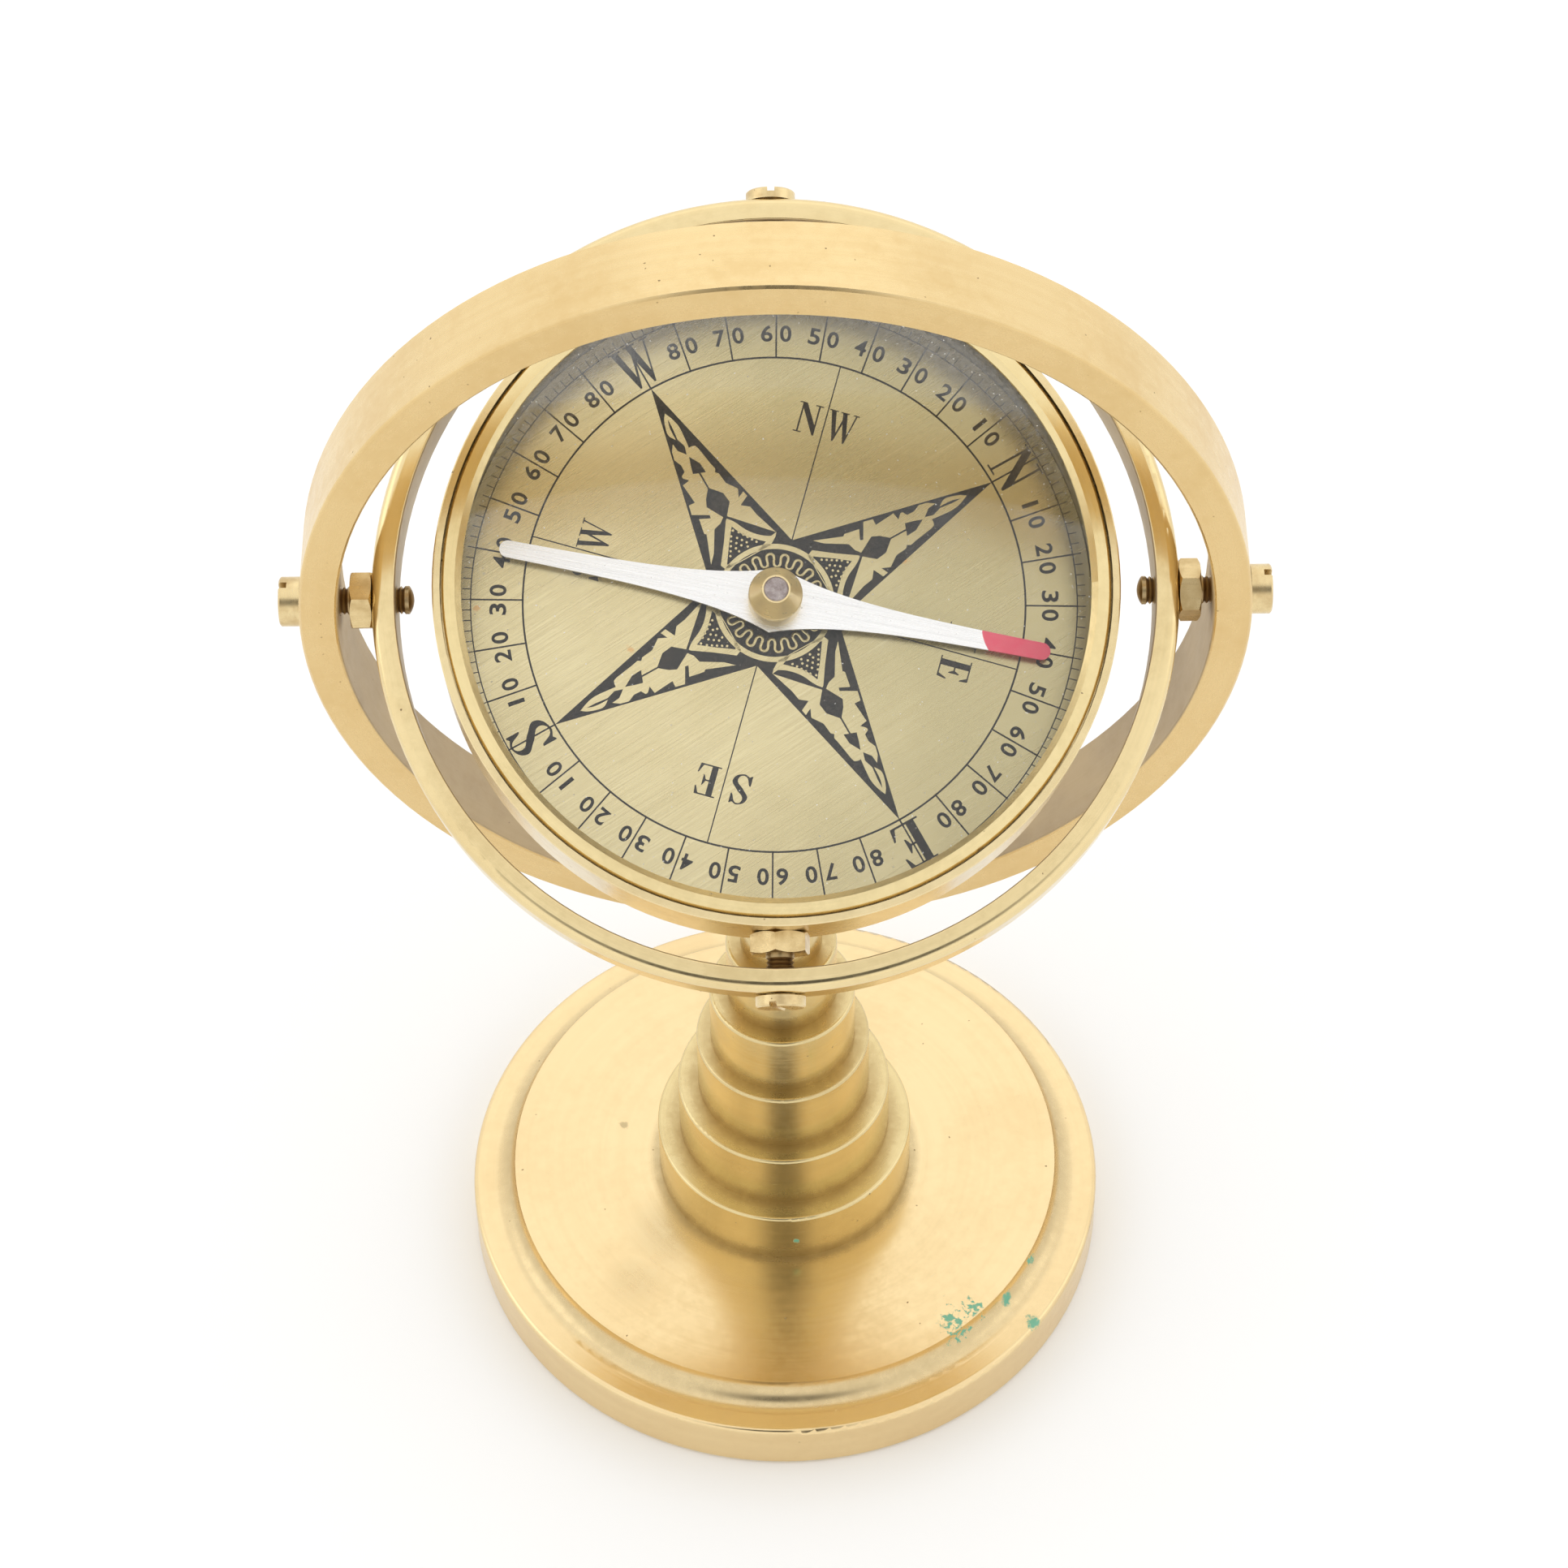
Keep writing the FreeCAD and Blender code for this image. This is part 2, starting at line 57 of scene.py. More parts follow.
@dataclass(frozen=True)
class Spindle:
    """A turned part's own axes: a centre in metres and three directions at right angles."""

    centre: Vector
    across: Vector
    along: Vector
    axis: Vector

    def plane(self, height: float, heading: float = 0.0) -> Matrix:
        """Placement of a flat piece drawn in millimetres on this spindle.

        Args:
            height: distance along the axis, in millimetres.
            heading: turn about the axis, in degrees.

        Returns:
            The matrix from the drawing to the row frame.
        """
        turn = Matrix.Rotation(math.radians(heading), 4, "Z")
        scale = Matrix.Diagonal((MM, MM, MM, 1.0))
        axes = Matrix((self.across, self.along, self.axis)).transposed().to_4x4()
        place = Matrix.Translation(self.centre + self.axis * height * MM)
        return place @ axes @ scale @ turn


def joint_axis(name: str) -> Vector:
    """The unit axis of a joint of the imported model, by its name."""
    found = [joint for joint in frame["joints"] if joint["name"] == name]
    return Vector(found[0]["axis"]).normalized()


def joint_centre(name: str) -> Vector:
    """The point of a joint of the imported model, by its name."""
    found = [joint for joint in frame["joints"] if joint["name"] == name]
    return Vector(found[0]["pos_m"])


def bowl_spindle() -> Spindle:
    """The bowl's axes: right, rear and out of the glass.

    Returns:
        The spindle.
    """
    rear = joint_axis("bowl_swing")
    out = joint_axis("needle_spin")
    return Spindle(joint_centre("bowl_swing"), rear.cross(out).normalized(), rear, out)


def gimbal_spindle() -> Spindle:
    """The gimbal ring's axes: right, rear and out of its plane.

    Returns:
        The spindle.
    """
    right = joint_axis("gimbal_tilt")
    rear = joint_axis("bowl_swing")
    return Spindle(joint_centre("gimbal_tilt"), right, rear, right.cross(rear))


def needle_spindle(heading: float) -> Spindle:
    """The needle's axes: towards its red tip, sideways and out of the dial.

    Args:
        heading: the red tip's angle from the bowl's right side, in degrees.

    Returns:
        The spindle.
    """
    bowl = bowl_spindle()
    turn = Matrix.Rotation(math.radians(heading), 3, bowl.axis)
    return Spindle(bowl.centre, turn @ bowl.across, turn @ bowl.along, bowl.axis)


def upright_spindle() -> Spindle:
    """The stand's axes, which are the row frame's."""
    return Spindle(Vector((0, 0, 0)), Vector((1, 0, 0)), Vector((0, 1, 0)), Vector((0, 0, 1)))


def hoop_spindle() -> Spindle:
    """The upright outer ring's axes, with its axis front to rear."""
    return Spindle(joint_centre("gimbal_tilt"), Vector((1, 0, 0)), Vector((0, 0, 1)), Vector((0, -1, 0)))


# --------------------------------------------------------------------------------------
# Shader nodes
# --------------------------------------------------------------------------------------


class Wire:
    """A node's output, with arithmetic that adds the Math nodes it needs."""

    def __init__(self, shade: "Shade", socket: bpy.types.NodeSocket) -> None:
        """Keeps the socket and the tree it is in."""
        self.shade = shade
        self.socket = socket

    def _math(self, operation: str, *values: "Wire | float") -> "Wire":
        """One Math node on these values."""
        return self.shade.node("ShaderNodeMath", {"operation": operation}, dict(enumerate(values)))

    def __add__(self, other: "Wire | float") -> "Wire":
        """self + other."""
        return self._math("ADD", self, other)

    def __radd__(self, other: "Wire | float") -> "Wire":
        """other + self."""
        return self._math("ADD", other, self)

    def __sub__(self, other: "Wire | float") -> "Wire":
        """self - other."""
        return self._math("SUBTRACT", self, other)

    def __rsub__(self, other: "Wire | float") -> "Wire":
        """other - self."""
        return self._math("SUBTRACT", other, self)

    def __mul__(self, other: "Wire | float") -> "Wire":
        """self * other."""
        return self._math("MULTIPLY", self, other)

    def __rmul__(self, other: "Wire | float") -> "Wire":
        """other * self."""
        return self._math("MULTIPLY", other, self)

    def __truediv__(self, other: "Wire | float") -> "Wire":
        """self / other."""
        return self._math("DIVIDE", self, other)

    def __rtruediv__(self, other: "Wire | float") -> "Wire":
        """other / self."""
        return self._math("DIVIDE", other, self)

    def __pow__(self, other: float) -> "Wire":
        """self to a power."""
        return self._math("POWER", self, other)

    def __rpow__(self, other: float) -> "Wire":
        """A number to the power of self."""
        return self._math("POWER", other, self)

    def __abs__(self) -> "Wire":
        """The size of self, without its sign."""
        return self._math("ABSOLUTE", self)

    def at_least(self, other: "Wire | float") -> "Wire":
        """The larger of the two."""
        return self._math("MAXIMUM", self, other)

    def at_most(self, other: "Wire | float") -> "Wire":
        """The smaller of the two."""
        return self._math("MINIMUM", self, other)

    def rise(self, start: float, end: float) -> "Wire":
        """A smooth step of self.

        Args:
            start: where the result is 0.
            end: where the result is 1; it may be below start.

        Returns:
            The step, between 0 and 1.
        """
        low, high = min(start, end), max(start, end)
        step = self.shade.node(
            "ShaderNodeMapRange",
            {"interpolation_type": "SMOOTHSTEP", "clamp": True},
            {"Value": self, "From Min": low, "From Max": high},
        )
        return step if end >= start else 1.0 - step


@dataclass(frozen=True)
class Spot:
    """Where a shaded point is on a spindle, in millimetres."""

    vector: Wire
    right: Wire
    rear: Wire
    height: Wire
    radius: Wire


class Shade:
    """The nodes of one material or of the world."""

    def __init__(self, tree: bpy.types.NodeTree) -> None:
        """Empties the tree, so that every node in it is added here."""
        self.tree = tree
        self.tree.nodes.clear()

    @classmethod
    def for_material(cls, name: str) -> tuple["Shade", bpy.types.Material]:
        """A new material and its empty nodes.

        Args:
            name: the material's name.

        Returns:
            The nodes and the material.
        """
        material = bpy.data.materials.new(name)
        material.use_nodes = True
        return cls(material.node_tree), material

    def node(
        self,
        kind: str,
        settings: dict[str, object] | None = None,
        sockets: dict[str | int, object] | None = None,
        output: str | int = 0,
    ) -> Wire:
        """Adds a node, sets it and then fills its sockets.

        Args:
            kind: the node's type.
            settings: its properties, such as a Math node's operation.
            sockets: a value or a Wire for each input, by name or number.
            output: which output to return.

        Returns:
            The chosen output, or the first input of a node that has no outputs.
        """
        made = self.tree.nodes.new(kind)
        for key, value in (settings or {}).items():
            setattr(made, key, value)
        for key, value in (sockets or {}).items():
            if isinstance(value, Wire):
                self.tree.links.new(value.socket, made.inputs[key])
            else:
                made.inputs[key].default_value = value
        return Wire(self, made.outputs[output] if len(made.outputs) else made.inputs[0])

    def vector_math(self, operation: str, *values: object, output: str = "Vector") -> Wire:
        """One Vector Math node on these values."""
        sockets = dict(enumerate(values))
        return self.node("ShaderNodeVectorMath", {"operation": operation}, sockets, output)

    def spot(self, spindle: Spindle) -> Spot:
        """Where the shaded point is on a spindle.

        Args:
            spindle: the part's own axes.

        Returns:
            The place, in millimetres.
        """
        place = self.node("ShaderNodeTexCoord", output="Object")
        offset = self.vector_math("SUBTRACT", place, tuple(spindle.centre))
        vector = self.vector_math("MULTIPLY", offset, (1 / MM, 1 / MM, 1 / MM))
        right = self.vector_math("DOT_PRODUCT", vector, tuple(spindle.across), output="Value")
        rear = self.vector_math("DOT_PRODUCT", vector, tuple(spindle.along), output="Value")
        height = self.vector_math("DOT_PRODUCT", vector, tuple(spindle.axis), output="Value")
        radius = (right * right + rear * rear) ** 0.5
        return Spot(vector, right, rear, height, radius)

    def combine(self, x: Wire | float, y: Wire | float, z: Wire | float) -> Wire:
        """A vector of three numbers."""
        return self.node("ShaderNodeCombineXYZ", None, {0: x, 1: y, 2: z})

    def noise(self, vector: Wire, size: float, detail: float = 3.0, rough: float = 0.55) -> Wire:
        """Cloudy noise between 0 and 1.

        Args:
            vector: where to read it, in millimetres.
            size: how large its largest patches are, in millimetres.
            detail: how many finer layers it has.
            rough: how strong the finer layers are.

        Returns:
            The noise.
        """
        sockets = {"Vector": vector, "Scale": 1 / size, "Detail": detail, "Roughness": rough}
        return self.node("ShaderNodeTexNoise", {"noise_dimensions": "3D"}, sockets, "Fac")

    def specks(self, vector: Wire, spacing: float, size: float, share: float) -> Wire:
        """Scattered round specks.

        Args:
            vector: where to read them, in millimetres.
            spacing: how far apart the cells are that may hold one, in millimetres.
            size: how wide a speck is, in millimetres.
            share: how many of the cells hold one, from 0 to 1.

        Returns:
            1 in a speck and 0 elsewhere.
        """
        ragged = self.node("ShaderNodeTexNoise", None, {"Vector": vector, "Scale": 1 / size}, "Color")
        scaling = {"operation": "SCALE"}
        shift = self.node("ShaderNodeVectorMath", scaling, {0: ragged, "Scale": size}, "Vector")
        moved = self.vector_math("ADD", vector, shift)
        sockets = {"Vector": moved, "Scale": 1 / spacing, "Randomness": 1.0}
        distance = self.node("ShaderNodeTexVoronoi", None, sockets, "Distance")
        chance = self.node("ShaderNodeTexVoronoi", None, sockets, "Color")
        pick = self.node("ShaderNodeSeparateColor", None, {0: chance}, "Red")
        reach = 0.5 * size / spacing
        return distance.rise(reach, reach * 0.55) * pick.rise(share + 0.02, share - 0.02)

    def mix(self, amount: Wire | float, first: Wire | Colour, second: Wire | Colour) -> Wire:
        """A colour between two others."""
        return self.node("ShaderNodeMix", {"data_type": "RGBA"}, {0: amount, 6: first, 7: second}, 2)

    def bump(self, height: Wire, depth: float, strength: float = 1.0) -> Wire:
        """A bumped normal.

        Args:
            height: the surface's height, from 0 to 1.
            depth: the height of 1, in millimetres.
            strength: how much of it shows.

        Returns:
            The normal.
        """
        sockets = {"Height": height, "Distance": depth * MM, "Strength": strength}
        return self.node("ShaderNodeBump", None, sockets, "Normal")

    def surface(self, sockets: dict[str | int, object]) -> None:
        """Ends the material in one Principled shader with these sockets."""
        shader = self.node("ShaderNodeBsdfPrincipled", None, sockets, "BSDF")
        self.node("ShaderNodeOutputMaterial", None, {"Surface": shader})


# --------------------------------------------------------------------------------------
# Finishes
# --------------------------------------------------------------------------------------


class Grain(Enum):
    """Which way the tool marks of a metal surface run."""

    TURNED = "turned"
    BRUSHED = "brushed"
    DRAWN = "drawn"


GRAIN_STRETCH = 0.02
TURNED_STRETCH = 0.35
SLANT_ALONG = 0.85
SLANT_ACROSS = 0.53


def grain_marks(shade: Shade, spot: Spot, grain: Grain, pitch: float) -> Wire:
    """Fine tool marks between 0 and 1.

    Args:
        shade: the material's nodes.
        spot: where the shaded point is.
        grain: which way the marks run.
        pitch: how far apart they are, in millimetres.

    Returns:
        The marks.
    """
    stretch = GRAIN_STRETCH / pitch
    if grain is Grain.TURNED:
        round_about = spot.radius.at_least(0.05)
        turn_x = spot.right / round_about * (TURNED_STRETCH / pitch)
        turn_y = spot.rear / round_about * (TURNED_STRETCH / pitch)
        track = (spot.radius + spot.height) / pitch
        place = shade.combine(turn_x, turn_y, track)
        return shade.noise(place, 1.0, 4.0, 0.65)
    if grain is Grain.BRUSHED:
        slanted = (spot.right * SLANT_ALONG + spot.rear * SLANT_ACROSS) * stretch
        crossed = (spot.rear * SLANT_ALONG - spot.right * SLANT_ACROSS) / pitch
        place = shade.combine(slanted, crossed, spot.height / pitch)
        return shade.noise(place, 1.0, 4.0, 0.65)
    place = shade.combine(spot.right * stretch, spot.rear / pitch, spot.height / pitch)
    return shade.noise(place, 1.0, 3.0, 0.6)


@dataclass(frozen=True)
class Ledge:
    """An inside corner of a turned part, in millimetres, near which the colour turns darker and browner."""

    radius: float
    height: float
    reach: float


@dataclass(frozen=True)
class Stain:
    """A round patch of colour at one place on a part, in millimetres, for verdigris, dark spots, flecks and
    painted shadows.
    """

    centre: tuple[float, float, float]
    reach: float
    ragged: float = 3.0
    strength: float = 1.0


def stained(shade: Shade, spot: Spot, patches: Iterable[Stain], ragged: Wire) -> Wire | None:
    """A ragged mask over some stains.

    Args:
        shade: the material's nodes.
        spot: where the shaded point is.
        patches: the stains, in the spindle's own directions.
        ragged: noise that frays their edges.

    Returns:
        The mask, or None without any patch.
    """
    place = shade.combine(spot.right, spot.rear, spot.height)
    total: Wire | None = None
    for round_patch in patches:
        away = shade.vector_math("DISTANCE", place, round_patch.centre, output="Value")
        frayed = away + (ragged - 0.5) * (round_patch.ragged * round_patch.reach)
        near = frayed.rise(round_patch.reach, 0.15 * round_patch.ragged * round_patch.reach) * round_patch.strength
        total = near if total is None else total.at_least(near)
    return total


@dataclass(frozen=True)
class BrassFinish:
    """Brass with tool marks, tarnish clouds, dark specks, darker inside corners, verdigris, dark spots and
    painted shadows.

    The radii, seats and faces that are 0 stand for a part without that feature.
    """

    name: str
    spindle: Spindle
    colour: Colour
    deep: Colour
    roughness: float
    grain: Grain = Grain.TURNED
    pitch: float = 0.22
    mark_depth: float = 0.002
    cloud_size: float = 14.0
    tarnish: float = 0.5
    speck_size: float = 0.32
    speck_share: float = 0.12
    speck_colour: Colour = (0.16, 0.09, 0.03, 1.0)
    grime_colour: Colour = (0.34, 0.21, 0.08, 1.0)
    dull_colour: Colour = (0.40, 0.325, 0.24, 1.0)
    shank_colour: Colour = (0.22, 0.135, 0.065, 1.0)
    verdigris_colour: Colour = (0.07, 0.43, 0.30, 1.0)
    bore_radius: float = 0.0
    dust_settles: bool = False
    shank_radius: float = 0.0
    head_seat: float = 0.0
    grime_strength: float = 0.55
    side_face: float = 0.0
    film: float = 0.0
    ledges: tuple[Ledge, ...] = ()
    verdigris: tuple[Stain, ...] = ()
    burns: tuple[Stain, ...] = ()

    def grime(self, spot: Spot) -> Wire | None:
        """How much darker and browner the colour turns near the inside corners.

        Args:
            spot: where the shaded point is.

        Returns:
            The share, or None without corners.
        """
        total: Wire | None = None
        for ledge in self.ledges:
            side = spot.radius - ledge.radius
            rise = spot.height - ledge.height
            near = ((side * side + rise * rise) ** 0.5).rise(ledge.reach, 0.15 * ledge.reach)
            total = near if total is None else total.at_least(near)
        return total

    def dull(self, spot: Spot) -> Wire | None:
        """Where the surface was left dull: the wall of the bore.

        Args:
            spot: where the shaded point is.

        Returns:
            The mask, or None without a bore.
        """
        if self.bore_radius <= 0.0:
            return None
        return spot.radius.rise(self.bore_radius + 0.20, self.bore_radius + 0.06)

    def shank(self, spot: Spot) -> Wire | None:
        """Where the threaded shank is, below its head.

        Args:
            spot: where the shaded point is.

        Returns:
            The mask, or None without a shank.
        """
        if self.shank_radius <= 0.0:
            return None
        below_head = abs(spot.height).rise(self.head_seat + 0.05, self.head_seat - 0.05)
        return spot.radius.rise(self.shank_radius + 0.10, self.shank_radius + 0.03) * below_head

    def sockets(self, shade: Shade, spot: Spot) -> dict[str, Wire]:
        """What varies over the brass.

        Args:
            shade: the material's nodes.
            spot: where the shaded point is on the finish's spindle.

        Returns:
            The Wire of each of the shader's sockets.
        """
        marks = grain_marks(shade, spot, self.grain, self.pitch)
        wide_marks = grain_marks(shade, spot, self.grain, self.pitch * 6)
        cloud = shade.noise(spot.vector, self.cloud_size, 3.0, 0.5)
        mottle = shade.noise(spot.vector, 1.6, 6.0, 0.7)
        tarnish = (cloud * 0.62 + mottle * 0.38).rise(0.40, 0.70) * self.tarnish
        speck = shade.specks(spot.vector, self.speck_size * 5, self.speck_size, self.speck_share)
        colour = shade.mix(tarnish, self.colour, self.deep)
        colour = shade.mix(wide_marks.rise(0.35, 0.75) * 0.22, colour, self.deep)
        colour = shade.mix(speck * 0.75, colour, self.speck_colour)
        rough = self.roughness + (marks - 0.5) * 0.16 + (mottle - 0.5) * 0.14 + tarnish * 0.10 + speck * 0.2
        metallic: Wire = (1.0 - self.film) - speck * 0.5
        if self.side_face > 0.0:
            face = abs(spot.height).rise(self.side_face - 0.25, self.side_face - 0.1)
            colour = shade.mix(face * 0.45, colour, self.deep)
        # darker and browner near each inside corner, patchy with the mottle
        grime = self.grime(spot)
        if grime is not None:
            corner_dark = grime * (0.55 + mottle.rise(0.1, 0.7) * 0.45)
            colour = shade.mix(corner_dark * self.grime_strength, colour, self.grime_colour)
            rough = rough + corner_dark * 0.12
        dull = self.dull(spot)
        if dull is not None:
            grey = dull * spot.rear.rise(14.0, -10.0) if self.dust_settles else dull
            colour = shade.mix(grey * (0.75 + (cloud - 0.5) * 0.5), colour, self.dull_colour)
            rough = rough + dull * 0.28
            metallic = metallic * (1.0 - dull * 0.25)
        shank = self.shank(spot)
        if shank is not None:
            groove = spot.radius.rise(self.shank_radius - 0.02, self.shank_radius - 0.20)
            colour = shade.mix(shank * (0.5 + groove * 0.4), colour, self.shank_colour)
            rough = rough + shank * 0.1
        # dark round patches: burnt spots, and on the foot painted shadow round the left front of the
        # column's foot
        burn_and_shadow = stained(shade, spot, self.burns, mottle)
        if burn_and_shadow is not None:
            colour = shade.mix(burn_and_shadow * 0.6, colour, self.grime_colour)
            rough = rough + burn_and_shadow * 0.12
        green = stained(shade, spot, self.verdigris, shade.noise(spot.vector, 0.9, 5.0, 0.7))
        if green is not None:
            colour = shade.mix(green * 0.85, colour, self.verdigris_colour)
            rough = rough + green * 0.4
            metallic = metallic * (1.0 - green)
        height = marks * 0.6 + wide_marks * 0.4 - speck * 1.5
        return {
            "Base Color": colour,
            "Metallic": metallic,
            "Roughness": rough.at_most(0.9).at_least(0.06),
            "Normal": shade.bump(height, self.mark_depth),
        }

    def build(self) -> bpy.types.Material:
        """Makes the material.

        Returns:
            The material.
        """
        shade, material = Shade.for_material(self.name)
        shade.surface(self.sockets(shade, shade.spot(self.spindle)))
        return material


@dataclass(frozen=True)
class BowlFinish:
    """Satin brass outside, and inside a bore wall painted with shade, darkest at the rear, and dust."""

    outside: BrassFinish
    bore_radius: float
    bore_top: float
    floor: float
    rear_dark: Colour = (0.035, 0.031, 0.026, 1.0)
    rear_pale: Colour = (0.19, 0.17, 0.145, 1.0)
    front_dark: Colour = (0.20, 0.15, 0.075, 1.0)
    front_pale: Colour = (0.40, 0.33, 0.20, 1.0)
    speck_colour: Colour = (0.55, 0.54, 0.50, 1.0)

    def build(self) -> bpy.types.Material:
        """Makes the material.

        Returns:
            The material.
        """
        shade, material = Shade.for_material(self.outside.name)
        spot = shade.spot(self.outside.spindle)
        skin = self.outside.sockets(shade, spot)
        inside = spot.radius.rise(self.bore_radius + 0.3, self.bore_radius + 0.1)
        inside = inside * spot.height.rise(self.bore_top + 0.05, self.bore_top - 0.1)
        inside = inside * spot.height.rise(self.floor - 0.1, self.floor)
        dust = shade.noise(spot.vector, 0.6, 6.0, 0.7)
        pale = shade.specks(spot.vector, 0.8, 0.22, 0.35)
        # painted shade on the bore wall: dark brown at the front to near black at the rear, mottled paler,
        # with pale dust specks
        rear = shade.mix(dust.rise(0.35, 0.8), self.rear_dark, self.rear_pale)
        front = shade.mix(dust.rise(0.35, 0.8), self.front_dark, self.front_pale)
        wall = shade.mix(spot.rear.rise(-8.0, 22.0), front, rear)
        wall = shade.mix(pale * 0.8, wall, self.speck_colour)
        skin["Base Color"] = shade.mix(inside, skin["Base Color"], wall)
        skin["Metallic"] = skin["Metallic"] * (1.0 - inside * 0.7)
        skin["Roughness"] = skin["Roughness"] + inside * 0.2
        shade.surface(skin)
        return material


@dataclass(frozen=True)
class DialFinish:
    """Brushed dial brass with slanting scratches, lint, dust, orange flecks and painted shade towards its
    right side.
    """

    name: str
    spindle: Spindle
    colour: Colour = (0.83, 0.725, 0.435, 1.0)
    deep: Colour = (0.75, 0.635, 0.35, 1.0)
    olive: Colour = (0.55, 0.485, 0.275, 1.0)
    groove_colour: Colour = (0.58, 0.48, 0.24, 1.0)
    scratch_colour: Colour = (0.90, 0.82, 0.56, 1.0)
    fleck_colour: Colour = (0.75, 0.38, 0.12, 1.0)
    dust_colour: Colour = (0.82, 0.80, 0.70, 1.0)
    metallic: float = 0.78
    flecks: tuple[Stain, ...] = ()

    def build(self) -> bpy.types.Material:
        """Makes the material.

        Returns:
            The material.
        """
        shade, material = Shade.for_material(self.name)
        spot = shade.spot(self.spindle)
        marks = grain_marks(shade, spot, Grain.BRUSHED, 0.2)
        scratches = grain_marks(shade, spot, Grain.BRUSHED, 0.5).rise(0.64, 0.76)
        cloud = shade.noise(spot.vector, 16.0, 3.0, 0.5)
        dust = shade.specks(spot.vector, 0.95, 0.24, 0.16)
        lint = shade.specks(spot.vector, 3.4, 0.42, 0.25)
        fleck = shade.specks(spot.vector, 7.0, 0.9, 0.12)
        # painted shade: darker and more olive towards the dial's right side and a little towards the rear,
        # with a ragged edge
        painted_shade_side = spot.right + spot.rear * 0.2 + (cloud - 0.5) * 30.0
        colour = shade.mix(cloud.rise(0.35, 0.7) * 0.7, self.colour, self.deep)
        colour = shade.mix(painted_shade_side.rise(-16.0, 20.0) * 0.9, colour, self.olive)
        colour = shade.mix(marks.rise(0.3, 0.75) * 0.42, colour, self.groove_colour)
        colour = shade.mix(scratches * 0.28, colour, self.scratch_colour)
        orange = stained(shade, spot, self.flecks, shade.noise(spot.vector, 0.7, 4.0, 0.7))
        if orange is not None:
            fleck = fleck.at_least(orange)
        colour = shade.mix(fleck * 0.6, colour, self.fleck_colour)
        colour = shade.mix(dust * 0.55 + lint * 0.3, colour, self.dust_colour)
        rough = 0.25 + (marks - 0.5) * 0.22 + (cloud - 0.5) * 0.12 + dust * 0.25
        shade.surface({
            "Base Color": colour,
            "Metallic": self.metallic - (dust * 0.6 + lint * 0.4).at_most(self.metallic),
            "Roughness": rough.at_most(0.9),
            "Normal": shade.bump(marks + scratches * 0.3, 0.0018),
        })
        return material


@dataclass(frozen=True)
class EngravingFinish:
    """Black wax rubbed into the engraving, worn thin in places and dusty."""

    name: str
    spindle: Spindle
    wax: Colour = (0.022, 0.021, 0.021, 1.0)
    worn_wax: Colour = (0.075, 0.066, 0.055, 1.0)
    brass_showing: Colour = (0.15, 0.12, 0.075, 1.0)
    dust_colour: Colour = (0.5, 0.48, 0.42, 1.0)

    def build(self) -> bpy.types.Material:
        """Makes the material.

        Returns:
            The material.
        """
        shade, material = Shade.for_material(self.name)
        spot = shade.spot(self.spindle)
        worn = shade.noise(spot.vector, 0.35, 5.0, 0.7)
        patch = shade.noise(spot.vector, 5.0, 3.0, 0.6)
        dust = shade.specks(spot.vector, 0.7, 0.2, 0.2)
        colour = shade.mix(worn.rise(0.4, 0.75), self.wax, self.worn_wax)
        colour = shade.mix(patch.rise(0.55, 0.8) * 0.4, colour, self.brass_showing)
        colour = shade.mix(dust * 0.5, colour, self.dust_colour)
        shade.surface({
            "Base Color": colour,
            "Roughness": 0.55 + (worn - 0.5) * 0.3,
            "Metallic": patch.rise(0.6, 0.85) * 0.3,
            "Normal": shade.bump(worn, 0.01),
        })
        return material


@dataclass(frozen=True)
class NeedleFinish:
    """Brushed white metal with one end dipped in red paint."""

    name: str
    spindle: Spindle
    paint_start: float
    steel: Colour = (0.99, 0.99, 0.99, 1.0)
    paint: Colour = (0.96, 0.10, 0.18, 1.0)
    streak_colour: Colour = (0.76, 0.76, 0.77, 1.0)
    tarnish_colour: Colour = (0.45, 0.44, 0.43, 1.0)
    worn_paint: Colour = (0.93, 0.20, 0.25, 1.0)
    dust_colour: Colour = (0.85, 0.84, 0.80, 1.0)
    edge_slant: float = 0.55
    edge_curve: float = 0.14
    edge_blur: float = 0.06

    def build(self) -> bpy.types.Material:
        """Makes the material.

        Returns:
            The material.
        """
        shade, material = Shade.for_material(self.name)
        spot = shade.spot(self.spindle)
        marks = grain_marks(shade, spot, Grain.DRAWN, 0.16)
        streaks = grain_marks(shade, spot, Grain.DRAWN, 0.5)
        cloud = shade.noise(spot.vector, 3.0, 5.0, 0.65)
        dust = shade.specks(spot.vector, 1.0, 0.22, 0.2)
        curved = spot.right + spot.rear * self.edge_slant - spot.rear * spot.rear * self.edge_curve
        edge = curved + (cloud - 0.5) * 0.4
        painted = edge.rise(self.paint_start - self.edge_blur, self.paint_start + self.edge_blur)
        metal = shade.mix(streaks.rise(0.45, 0.75) * 0.25, self.steel, self.streak_colour)
        metal = shade.mix(cloud.rise(0.62, 0.8) * 0.3, metal, self.tarnish_colour)
        paint = shade.mix(cloud.rise(0.35, 0.7) * 0.45, self.paint, self.worn_paint)
        colour = shade.mix(painted, metal, paint)
        colour = shade.mix(dust * 0.5, colour, self.dust_colour)
        rough = 0.26 + (marks - 0.5) * 0.24 - painted * 0.12 + dust * 0.2
        shade.surface({
            "Base Color": colour,
            "Metallic": (1.0 - painted) * (1.0 - dust * 0.6) * 0.9,
            "Roughness": rough,
            "Normal": shade.bump(marks * (1.0 - painted * 0.8) + painted * 3.0, 0.004),
        })
        return material


